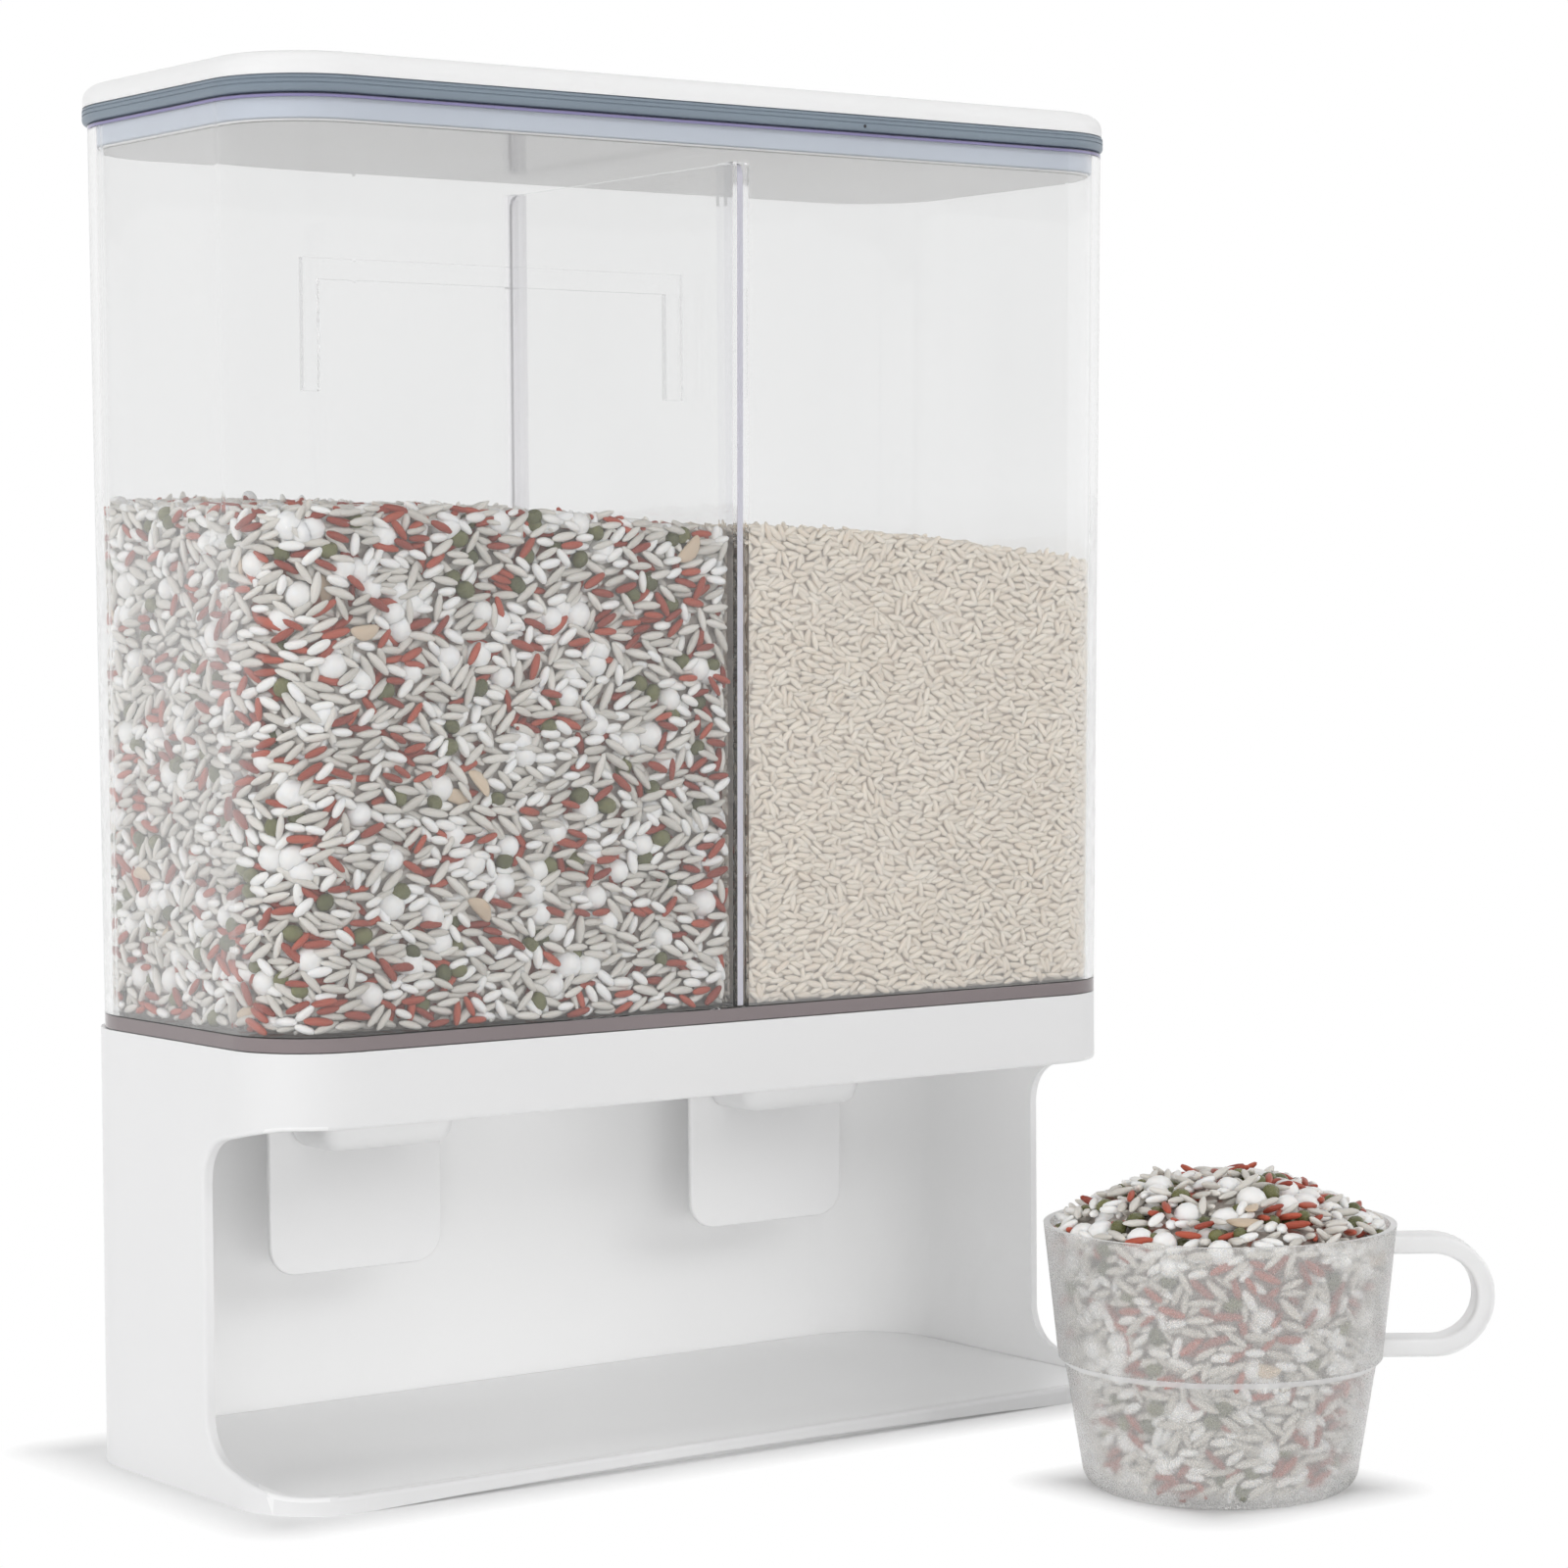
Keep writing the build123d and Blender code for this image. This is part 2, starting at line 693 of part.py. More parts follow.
# Tank screws, up through the ceiling into the bosses under the tank's floor
with BuildPart() as tank_screws:
    for low, radius, length in (
        (ceiling_low - screw_head_height, screw_head_radius, screw_head_height),
        (ceiling_low, screw_radius, tank_screw_length),
    ):
        with BuildSketch(Plane.XY.offset(low)):
            with Locations(*tank_screw_places):
                Circle(radius)
        extrude(amount=length)
tank_screws.part.label = "tank_screws"
export_step(tank_screws.part, "parts/tank_screws.step")


def grain_top(y, fill, left, right):
    """Upright face across a chamber, from the floor to a smooth line through the grain's levels."""
    step = (right - left) / (len(fill) - 1)
    points = [(left + step * i, floor_top + share * tank_height) for i, share in enumerate(fill)]
    low = floor_top + grain_gap
    with BuildSketch(Plane.XZ.offset(-y)) as face:
        with BuildLine():
            Spline(points)
            Polyline(points[-1], (right, low), (left, low), points[0])
        make_face()
    return face.sketch


def chamber_grain(x, left, right, front_fill, back_fill):
    """Grain in one chamber, from its throat up to its uneven top."""
    with BuildPart() as grain:
        loft([grain_top(front_y - past, front_fill, left, right), grain_top(back_y, back_fill, left, right)])
        add(tank_inside(grain_gap), mode=Mode.INTERSECT)
        add(funnel(x, -grain_gap, -grain_gap))
        add(rounded_block(
            throat_width - 2 * grain_gap,
            throat_length - 2 * grain_gap,
            throat_corner - grain_gap,
            x,
            outlet_y,
            throat_low,
            throat_top + past,
        ))
    return grain.part


divider_half = divider_thickness / 2 + grain_gap
mixed_grain = chamber_grain(
    outlet_xs["left"],
    -half_width - tank_flare,
    divider_offset - divider_half,
    mixed_front_fill,
    mixed_back_fill,
)
mixed_grain.label = "mixed_grain"
export_step(mixed_grain, "parts/mixed_grain.step")
rice = chamber_grain(
    outlet_xs["right"],
    divider_offset + divider_half,
    half_width + tank_flare,
    rice_front_fill,
    rice_back_fill,
)
rice.label = "rice"
export_step(rice, "parts/rice.step")

# Upright plane through the cup's axis and its handle
cup_half_plane = Plane(
    origin=(cup_x, cup_y, 0),
    x_dir=(cos(radians(cup_turn)), sin(radians(cup_turn)), 0),
    z_dir=(sin(radians(cup_turn)), -cos(radians(cup_turn)), 0),
)
cup_axis = Axis((cup_x, cup_y, 0), (0, 0, 1))


def cup_section(inset, top):
    """Half section of the cup's round body, an inset inside its outer face, up to a domed or flat top."""
    foot = cup_foot_radius - inset
    rim = (cup_rim_radius - inset, cup_height)
    with BuildSketch(cup_half_plane) as section:
        with BuildLine():
            Line((0, inset), (foot - cup_foot_round, inset))
            RadiusArc((foot - cup_foot_round, inset), (foot, inset + cup_foot_round), -cup_foot_round)
            Polyline(
                (foot, inset + cup_foot_round),
                (cup_step_radius - cup_step - inset, cup_step_height),
                (cup_step_radius - inset, cup_step_height + cup_step),
                rim,
            )
            if top > cup_height:
                rise = top - cup_height
                RadiusArc(rim, (0, top), -(rim[0] ** 2 + rise**2) / (2 * rise))
            else:
                Line(rim, (0, top))
            Line((0, top), (0, inset))
        make_face()
    return section.sketch


# Measuring cup: a stepped beaker with a flat loop handle, turned to the right and the front
handle_start = cup_step_radius - cup_wall
with BuildPart() as cup:
    with BuildSketch(cup_half_plane):
        with BuildLine():
            handle_middle = (handle_low + handle_high) / 2
            handle_bend = handle_reach - (handle_high - handle_low) / 2
            inner_low = handle_low + handle_bar
            inner_high = handle_high - handle_bar
            Line((handle_start, handle_low), (handle_bend, handle_low))
            ThreePointArc(
                (handle_bend, handle_low),
                (handle_reach, handle_middle),
                (handle_bend, handle_high),
            )
            Polyline(
                (handle_bend, handle_high),
                (handle_start, handle_high),
                (handle_start, inner_high),
                (handle_bend, inner_high),
            )
            ThreePointArc(
                (handle_bend, inner_high),
                (handle_reach - handle_bar, handle_middle),
                (handle_bend, inner_low),
            )
            Polyline((handle_bend, inner_low), (handle_start, inner_low), (handle_start, handle_low))
        make_face()
    extrude(amount=handle_width / 2, both=True)
    handle_sides = cup.faces().sort_by(Axis(cup_axis.position, cup_half_plane.z_dir))
    handle_edges = handle_sides[0].edges() + handle_sides[-1].edges()
    fillet(handle_edges.filter_by(lambda edge: edge.length > handle_bar + past), radius=handle_round)
    revolve(cup_section(0, cup_height), axis=cup_axis)
    revolve(cup_section(cup_wall, cup_height), axis=cup_axis, mode=Mode.SUBTRACT)
cup.part.label = "cup"
export_step(cup.part, "parts/cup.step")

# Grain in the cup, heaped over its rim
with BuildPart() as cup_grain:
    revolve(cup_section(cup_wall + grain_gap, cup_height + heap_height), axis=cup_axis)
cup_grain.part.label = "cup_grain"
export_step(cup_grain.part, "parts/cup_grain.step")
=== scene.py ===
import functools
import json
import math

import bmesh
import bpy
import numpy as np
from mathutils import Matrix, Vector

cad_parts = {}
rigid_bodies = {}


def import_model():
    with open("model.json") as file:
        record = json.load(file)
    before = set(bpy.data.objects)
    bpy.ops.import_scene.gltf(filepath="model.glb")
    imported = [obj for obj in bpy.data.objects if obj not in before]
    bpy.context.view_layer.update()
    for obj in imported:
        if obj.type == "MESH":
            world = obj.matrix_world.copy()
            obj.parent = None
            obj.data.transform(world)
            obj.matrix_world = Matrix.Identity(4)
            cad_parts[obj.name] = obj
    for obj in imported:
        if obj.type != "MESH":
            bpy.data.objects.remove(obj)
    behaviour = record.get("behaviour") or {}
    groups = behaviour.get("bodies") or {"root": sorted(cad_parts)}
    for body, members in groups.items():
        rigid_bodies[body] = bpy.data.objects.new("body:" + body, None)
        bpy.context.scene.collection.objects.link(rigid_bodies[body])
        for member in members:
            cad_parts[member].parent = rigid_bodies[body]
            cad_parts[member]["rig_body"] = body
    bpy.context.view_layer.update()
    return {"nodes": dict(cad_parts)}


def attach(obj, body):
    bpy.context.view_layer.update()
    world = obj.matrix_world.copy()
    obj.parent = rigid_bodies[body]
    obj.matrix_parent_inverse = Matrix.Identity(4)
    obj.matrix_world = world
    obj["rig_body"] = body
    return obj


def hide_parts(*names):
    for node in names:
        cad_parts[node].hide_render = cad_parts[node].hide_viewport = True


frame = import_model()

# Looks of the wall-mounted rice dispenser and its cup. Metres, +Z up, front towards -Y.
# Values in capitals and grain sizes and places are in millimetres, and turn into metres when a mesh is made.

nodes = frame["nodes"]
rng = np.random.default_rng(20)
MM = 0.001
RIGHTWARD, BACKWARD, UPWARD = np.eye(3)

# Body and tank, as in the solids

HALF_WIDTH = 150.0
FRONT = -63.0
BACK = 63.0
FRONT_CORNER = 25.0
REAR_CORNER = 30.0
BAY_BOX = ((-147.2, -61.0, 2.9), (147.2, 61.0, 107.5))
HINGE_Y = 25.3
HINGE_Z = 99.5
TANK_BACK = 60.5
TANK_LOW = 126.0
TANK_HEIGHT = 258.0
TANK_WALL = 2.5
FLARE = 2.9
FLOOR_TOP = 130.3
DIVIDER_X = 3.5
RIB_TOP = 376.0
RIB_ENDS = (-50.0, 45.0)
RIB_REACH = 7.0
HANGER_HALF_WIDTH = 71.0
HANGER_LOW = 300.0
OUTLET_Y = 13.0
OUTLET_LOW = 105.5
OUTLET_HIGH = 118.0
OUTLET_SIZE = (33.0, 12.0, 2.5)
FUNNEL_SIZE = (116.5, 94.5, 11.5)

# The cup: its place, heights, wall and outer radii

CUP_X = 82.0
CUP_Y = -180.0
CUP_HEIGHT = 74.0
CUP_STEP_LOW = 35.0
CUP_STEP_HIGH = 36.8
CUP_WALL = 1.8
CUP_FOOT_ROUND = 7.0
CUP_FOOT = 38.6
CUP_BELOW_STEP = 43.2
CUP_ABOVE_STEP = 45.0
CUP_RIM = 49.0

# Grain: cell of the maps it is laid on, and layers of loose grain over a core

CELL = 0.4
ANGLE_STEPS = 36
BIG_WIDTH = 3.0
GRAINS_PER_PIECE = 2200
TOP_INSET = 0.4
CORE_DROP = 4.2

# Chambers: side, X of the rib's face, the divider's face and the outlet, depth of the core, and the grain's
# level at four places across, as shares of the tank's height. Wall layers: overlap allowed, tries, least and
# most depth (in the first one past the depth of a grain that touches), and spreads of angle and tilt.

CHAMBERS = {
    "mixed": {
        "sign": -1, "rib_side": 0.3, "divider_face": 2.3, "outlet_x": -75.0, "core_inset": 4.9,
        "span": (-152.9, 2.2),
        "front_fill": (0.5504, 0.5562, 0.5504, 0.5291),
        "back_fill": (0.5659, 0.5756, 0.5678, 0.5485),
        "wall_layers": (
            (0.07, 26000, 0.1, 0.35, 33, 0.10),
            (0.45, 20000, 2.3, 3.3, 45, 0.22),
            (0.75, 14000, 3.8, 4.8, 60, 0.35),
        ),
    },
    "rice": {
        "sign": 1, "rib_side": 6.7, "divider_face": 4.7, "outlet_x": 75.0, "core_inset": 2.2,
        "span": (4.8, 152.9),
        "front_fill": (0.5368, 0.5310, 0.5136, 0.4903),
        "back_fill": (0.5504, 0.5465, 0.5349, 0.5194),
        "wall_layers": (
            (0.16, 32000, 0.1, 0.35, 30, 0.07),
            (0.5, 24000, 1.0, 1.5, 40, 0.07),
            (0.8, 16000, 1.7, 2.2, 50, 0.07),
        ),
    },
}

# Layers on the cup's wall, and layers of a top: overlap allowed, drop and spread of tilt

CUP_LAYERS = (
    (0.08, 9000, 0.1, 0.4, 33, 0.12),
    (0.5, 7000, 2.0, 3.4, 60, 0.25),
)
TOP_LAYERS = ((0.12, 0.0, 0.28), (0.45, 1.8, 0.3), (0.8, 3.2, 0.3))


# Objects and pieces

def link(name, data):
    made = bpy.data.objects.new(name, data)
    bpy.context.scene.collection.objects.link(made)
    return made


def place_piece(piece, body, node=None):
    """The piece rides on a body. Where a node is given, it stands for it."""
    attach(piece, body)
    if node is not None:
        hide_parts(node)


# Camera and lamps

def add_camera():
    """Camera as fitted to the photograph's edges, for a square image."""
    data = bpy.data.cameras.new("camera")
    data.sensor_width = 36.0
    data.lens = 96.6
    data.clip_end = 50.0
    place = Vector((-0.7061, -1.0474, 0.2484))
    forward = Vector((0.5922, 0.8046, -0.0442)).normalized()
    nearly_up = Vector((0.0315, 0.0317, 0.999))
    right = forward.cross(nearly_up).normalized()
    up = right.cross(forward)
    turn = Matrix((right, up, -forward)).transposed().to_4x4()
    camera = link("camera", data)
    camera.matrix_world = Matrix.Translation(place) @ turn
    bpy.context.scene.camera = camera


def add_area_lamp(name, place, target, width, height, power, glossy=False):
    """Soft lamp that points at a target. Only a glossy one shows in reflections."""
    data = bpy.data.lights.new(name, "AREA")
    data.shape = "RECTANGLE"
    data.size = width
    data.size_y = height
    data.energy = power
    lamp = link(name, data)
    lamp.location = place
    lamp.rotation_euler = (Vector(target) - Vector(place)).to_track_quat("-Z", "Y").to_euler()
    lamp.visible_camera = False
    lamp.visible_transmission = False
    lamp.visible_glossy = glossy


# Node helpers

def grey(value):
    return (value, value, value)


def add_node(tree, kind, inputs=None, **settings):
    """New node with its settings, and its inputs set to values or linked to sockets."""
    node = tree.nodes.new(f"ShaderNode{kind}")
    for setting, value in settings.items():
        setattr(node, setting, value)
    for name, given in (inputs or {}).items():
        if isinstance(given, bpy.types.NodeSocket):
            tree.links.new(given, node.inputs[name])
        else:
            node.inputs[name].default_value = given
    return node


def new_material(name, values=None):
    """New material, with its tree, its Principled shader and its output."""
    material = bpy.data.materials.new(name)
    material.use_nodes = True
    tree = material.node_tree
    tree.nodes.clear()
    shader = add_node(tree, "BsdfPrincipled", values)
    output = add_node(tree, "OutputMaterial", {"Surface": shader.outputs["BSDF"]})
    return material, tree, shader, output


def noise(tree, scale, detail=2.0, stretch=(1, 1, 1)):
    """Noise over the piece's own coordinates, in metres."""
    place = add_node(tree, "TexCoord").outputs["Object"]
    place = add_node(tree, "Mapping", {"Vector": place, "Scale": stretch}).outputs["Vector"]
    return add_node(tree, "TexNoise", {"Vector": place, "Scale": scale, "Detail": detail}).outputs["Fac"]


def ranged(tree, value, low, high, from_low=0.3, from_high=0.7):
    """Value spread over a new range."""
    limits = {"From Min": from_low, "From Max": from_high, "To Min": low, "To Max": high}
    return add_node(tree, "MapRange", {"Value": value, **limits}).outputs["Result"]


def calculated(tree, operation, first, second):
    """Result of one operation on two numbers or sockets."""
    return add_node(tree, "Math", {0: first, 1: second}, operation=operation).outputs["Value"]


def blended(tree, factor, first, second):
    """Colour between two colours or colour sockets."""
    first, second = [(*colour, 1.0) if isinstance(colour, tuple) else colour for colour in (first, second)]
    return add_node(tree, "Mix", {0: factor, 6: first, 7: second}, data_type="RGBA").outputs[2]


def connect(tree, source, target):
    tree.links.new(source, target)


def set_colour(tree, shader, texture, first, second):
    """Base colour that wanders between two colours with a texture."""
    connect(tree, blended(tree, ranged(tree, texture, 0.0, 1.0), first, second), shader.inputs["Base Color"])


def set_roughness(tree, shader, texture, smooth, rough):
    connect(tree, ranged(tree, texture, smooth, rough), shader.inputs["Roughness"])


def bump(tree, shader, height, strength, distance):
    relief = add_node(tree, "Bump", {"Height": height, "Strength": strength, "Distance": distance})
    connect(tree, relief.outputs["Normal"], shader.inputs["Normal"])


def mix_shaders(tree, factor, first, second, output):
    """Blend of two shaders as what the output shows."""
    mix = add_node(tree, "MixShader", {0: factor, 1: first, 2: second})
    connect(tree, mix.outputs["Shader"], output.inputs["Surface"])


def let_lamps_through(tree, shader, output, colour):
    """Shadow rays pass, so that the lamps light what is behind."""
    shadow = add_node(tree, "LightPath").outputs["Is Shadow Ray"]
    clear = add_node(tree, "BsdfTransparent", {"Color": (*colour, 1.0)})
    mix_shaders(tree, shadow, shader.outputs["BSDF"], clear.outputs["BSDF"], output)


def seen_in_picture(tree):
    """1 on camera, glossy and transmission rays, and 0 on the rays that only carry light."""
    rays = add_node(tree, "LightPath").outputs
    indirect = calculated(tree, "MAXIMUM", rays["Is Glossy Ray"], rays["Is Transmission Ray"])
    return calculated(tree, "MAXIMUM", rays["Is Camera Ray"], indirect)


# Kinds of material

def moulded_plastic(name, colour, darker, roughness, texture_scale=2600.0):
    """Opaque moulded plastic with a fine skin and faint flow marks."""
    material, tree, shader, _ = new_material(name, {"IOR": 1.5})
    flow = noise(tree, 14.0, detail=3.0, stretch=(1, 1, 0.4))
    set_colour(tree, shader, flow, colour, darker)
    skin = noise(tree, texture_scale)
    set_roughness(tree, shader, skin, roughness - 0.04, roughness + 0.06)
    bump(tree, shader, skin, strength=0.08, distance=0.00005)
    return material


def clear_plastic(name, tint, smooth, rough, lamp_tint, ior=1.49, transmission=1.0):
    """Clear moulded plastic with faint flow marks and a little unevenness in its gloss."""
    values = {"IOR": ior, "Transmission Weight": transmission}
    material, tree, shader, output = new_material(name, values)
    flow = noise(tree, 18.0, stretch=(1, 1, 0.5))
    set_colour(tree, shader, flow, tint, tuple(0.985 * part for part in tint))
    set_roughness(tree, shader, flow, smooth, rough)
    let_lamps_through(tree, shader, output, lamp_tint)
    return material


def dust_and_sheen_plastic(name, tint):
    """Clear wall with a whitish film up to the grain's top, partly rice dust and partly a painted sheen of
    the wall's reflection, thickest on the left and right.
    """
    material = clear_plastic(name, tint, 0.015, 0.035, grey(0.985))
    tree = material.node_tree
    place = add_node(tree, "TexCoord").outputs["Object"]
    parts = add_node(tree, "SeparateXYZ", {"Vector": place}).outputs
    left = ranged(tree, parts["X"], 0.30, 0.02, from_low=-0.150, from_high=-0.145)
    right = ranged(tree, parts["X"], 0.0, 0.15, from_low=0.002, from_high=0.006)
    below_top = ranged(tree, parts["Z"], 1.0, 0.0, from_low=0.258, from_high=0.282)
    cloud = ranged(tree, noise(tree, 45.0, detail=3.0), 0.85, 1.15)
    dust_and_sheen = calculated(tree, "ADD", left, right)
    for part in (below_top, cloud):
        dust_and_sheen = calculated(tree, "MULTIPLY", dust_and_sheen, part)
    clear = calculated(tree, "SUBTRACT", 1.0, dust_and_sheen)
    connect(tree, clear, tree.nodes["Principled BSDF"].inputs["Transmission Weight"])
    return material


def frosted_plastic(name, tint, transmission, smooth, rough):
    """Milky plastic with a fine matt skin."""
    values = {"IOR": 1.45, "Transmission Weight": transmission}
    material, tree, shader, output = new_material(name, values)
    cloud = noise(tree, 60.0, detail=3.0)
    set_colour(tree, shader, cloud, tint, tuple(0.97 * part for part in tint))
    skin = noise(tree, 3000.0)
    set_roughness(tree, shader, skin, smooth, rough)
    bump(tree, shader, skin, strength=0.1, distance=0.00005)
    let_lamps_through(tree, shader, output, grey(0.78))
    return material


def brushed_steel(name):
    """Bare steel with streaks along its height."""
    material, tree, shader, _ = new_material(name, {"Metallic": 1.0})
    streaks = noise(tree, 900.0, detail=3.0, stretch=(1, 1, 6))
    set_colour(tree, shader, streaks, (0.62, 0.62, 0.63), (0.5, 0.5, 0.51))
    set_roughness(tree, shader, streaks, 0.22, 0.36)
    bump(tree, shader, streaks, strength=0.1, distance=0.00003)
    return material


def grain_material(name, light, dark, edge, roughness, depth):
    """Skin of one kind of grain: each has its own tone, with faint streaks, and turns towards its edge
    colour where seen edge-on, a painted glow of light through its thin edge.
    """
    depths = {"Subsurface Radius": (1.0, 0.93, 0.85), "Subsurface Scale": depth}
    material, tree, shader, _ = new_material(name, {"Subsurface Weight": 0.6, **depths})
    tone = add_node(tree, "Attribute", attribute_name="tone")
    body = blended(tree, tone.outputs["Fac"], dark, light)
    streaks = ranged(tree, noise(tree, 700.0), 0.0, 0.35)
    body = blended(tree, streaks, body, edge)
    # Painted light: towards the edge colour where the grain is seen edge-on, a glow of light through its
    # thin edge.
    facing = add_node(tree, "LayerWeight", {"Blend": 0.35})
    rim = ranged(tree, facing.outputs["Facing"], 0.0, 0.6, from_low=0.4, from_high=1.0)
    connect(tree, blended(tree, rim, body, edge), shader.inputs["Base Color"])
    skin = noise(tree, 2200.0)
    set_roughness(tree, shader, skin, roughness - 0.08, roughness + 0.08)
    bump(tree, shader, skin, strength=0.15, distance=0.00008)
    return material


def pile_with_painted_shade(name, main, second, patch):
    """Grain deep inside a pile: a mottle, seen only through the gaps between grains, in colours darker than
    the loose grain as painted shade in the gaps.
    """
    material, tree, shader, _ = new_material(name)
    spots = ranged(tree, noise(tree, 330.0, detail=3.0), 0.0, 1.0, from_low=0.35, from_high=0.65)
    base = blended(tree, spots, main, second)
    patches = ranged(tree, noise(tree, 150.0), 0.0, 1.0, from_low=0.55, from_high=0.62)
    connect(tree, blended(tree, patches, base, patch), shader.inputs["Base Color"])
    skin = noise(tree, 900.0)
    set_roughness(tree, shader, skin, 0.55, 0.75)
    bump(tree, shader, skin, strength=0.6, distance=0.0006)
    return material


# The materials

white_base = moulded_plastic("white_base_plastic", grey(0.87), (0.855, 0.855, 0.86), 0.34)
# Lighter copy of the base's white for the bay and its floor tray: painted light that lifts the shade inside
# the bay.
bay_white_painted_lighter = moulded_plastic("bay_plastic_painted_lighter", grey(0.96), grey(0.95), 0.36)
# Lighter copy of the base's white for the lid: painted light for the light the lid catches from above.
white_lid_painted_lighter = moulded_plastic("lid_plastic_painted_lighter", grey(0.92), grey(0.91), 0.36)
white_moving = moulded_plastic("white_moving_plastic", grey(0.84), (0.825, 0.825, 0.83), 0.38)

tank_tint = (0.908, 0.91, 0.91)
faint_blue = (0.97, 0.97, 0.98)
edge_shade = (0.9, 0.9, 0.92)
tank_plastic = clear_plastic("tank_plastic", tank_tint, 0.015, 0.035, grey(0.985))
dust_and_sheen_wall = dust_and_sheen_plastic("tank_inner_dust_and_sheen_plastic", tank_tint)
plug_plastic = clear_plastic("lid_plug_plastic", grey(0.985), 0.1, 0.14, grey(0.98), transmission=0.6)
rib_plastic = clear_plastic("tank_rib_plastic", faint_blue, 0.02, 0.05, faint_blue, ior=1.12)
back_rib = clear_plastic("tank_back_rib_plastic", (0.985, 0.98, 0.995), 0.2, 0.3, faint_blue, 1.04, 0.8)
hanger_edge = clear_plastic("hanger_edge_plastic", (0.95, 0.95, 0.96), 0.1, 0.2, grey(0.97), 1.08, 0.7)
divider_plastic = clear_plastic("divider_plastic", grey(0.985), 0.015, 0.035, grey(0.985), ior=1.4)
# Lavender front edge of the divider: painted light, the colour its cut edge shows by refraction.
cut_edge_painted_light = clear_plastic("divider_edge_painted_light_plastic", (0.90, 0.89, 0.985), 0.25, 0.35, edge_shade, 1.3, 0.25)
cut_top = clear_plastic("divider_top_plastic", (0.98, 0.98, 0.985), 0.1, 0.2, edge_shade)
back_edge = clear_plastic("divider_back_edge_plastic", (0.98, 0.975, 0.99), 0.2, 0.3, faint_blue, 1.05, 0.65)
# Purple rim line: painted light, the colour the tank's rim edge shows by refraction.
rim_painted_light = moulded_plastic("tank_rim_painted_light", (0.30, 0.27, 0.50), (0.26, 0.23, 0.45), 0.4)
# Dark band just behind the tank floor's front edge: painted shade, for the shaded floor under the grain that
# the slab's edge shows.
floor_band_painted_shade = moulded_plastic("tank_floor_painted_shade_plastic", (0.27, 0.225, 0.23), (0.24, 0.20, 0.205), 0.5)

gasket_rubber = moulded_plastic("gasket_rubber", (0.23, 0.283, 0.336), (0.205, 0.25, 0.303), 0.42, 1800.0)
gasket_lip = moulded_plastic("gasket_lip_rubber", (0.64, 0.70, 0.785), (0.60, 0.65, 0.735), 0.42, 1800.0)
# Near-black: painted shade for the inside of the gasket's vent hole.
vent_painted_shade = moulded_plastic("vent_hole_painted_shade", (0.03, 0.03, 0.035), (0.02, 0.02, 0.025), 0.6)
soft_seal = moulded_plastic("soft_seal", (0.72, 0.74, 0.75), (0.66, 0.68, 0.70), 0.55, 1800.0)
steel = brushed_steel("brushed_steel")
cup_plastic = frosted_plastic("cup_plastic", (0.93, 0.925, 0.915), 0.83, 0.24, 0.32)
# Milkier finish for thick parts, also a painted highlight line on the cup's step.
cup_thick_and_highlight = frosted_plastic("cup_thick_and_highlight_plastic", grey(0.94), 0.35, 0.34, 0.42)

finishes = {
    "floor_tray": bay_white_painted_lighter,
    "lid_cover": white_lid_painted_lighter,
    "lid_plug": plug_plastic,
    "spout_screws": steel,
    "tank_screws": steel,
}
for side in ("left", "right"):
    finishes[f"{side}_spout"] = white_moving
    finishes[f"{side}_push_plate"] = white_moving
    finishes[f"{side}_flap_pad"] = soft_seal
    finishes[f"{side}_outlet_seal"] = soft_seal
    finishes[f"{side}_hinge_pin"] = steel
    finishes[f"{side}_return_spring"] = steel
for node_name, finish in finishes.items():
    for material_slot in nodes[node_name].material_slots:
        material_slot.material = finish
    if not nodes[node_name].material_slots:
        nodes[node_name].data.materials.append(finish)


# Nodes whose faces have finishes of their own

def dressed_copy(node_name, choices, choose):
    """Copy of a node's mesh that stands for it, with a finish for each face by its place and direction."""
    mesh = nodes[node_name].data.copy()
    mesh.name = f"{node_name}_dressed"
    mesh.materials.clear()
    for choice in choices:
        mesh.materials.append(choice)
    count = len(mesh.polygons)
    centres = np.empty(count * 3, dtype=np.float32)
    normals = np.empty(count * 3, dtype=np.float32)
    mesh.polygons.foreach_get("center", centres)
    mesh.polygons.foreach_get("normal", normals)
    numbers = choose(centres.reshape(-1, 3) / MM, normals.reshape(-1, 3))
    mesh.polygons.foreach_set("material_index", numbers.astype(np.int32))
    piece = link(f"{node_name}_dressed", mesh)
    place_piece(piece, nodes[node_name]["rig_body"], node_name)


def base_faces(centres, normals):
    """Outside 0, inside of the cup's bay 1: a lighter copy of the white, painted light that lifts the shade
    in the bay.
    """
    low, high = BAY_BOX
    return ((centres > low) & (centres < high)).all(axis=1).astype(float)


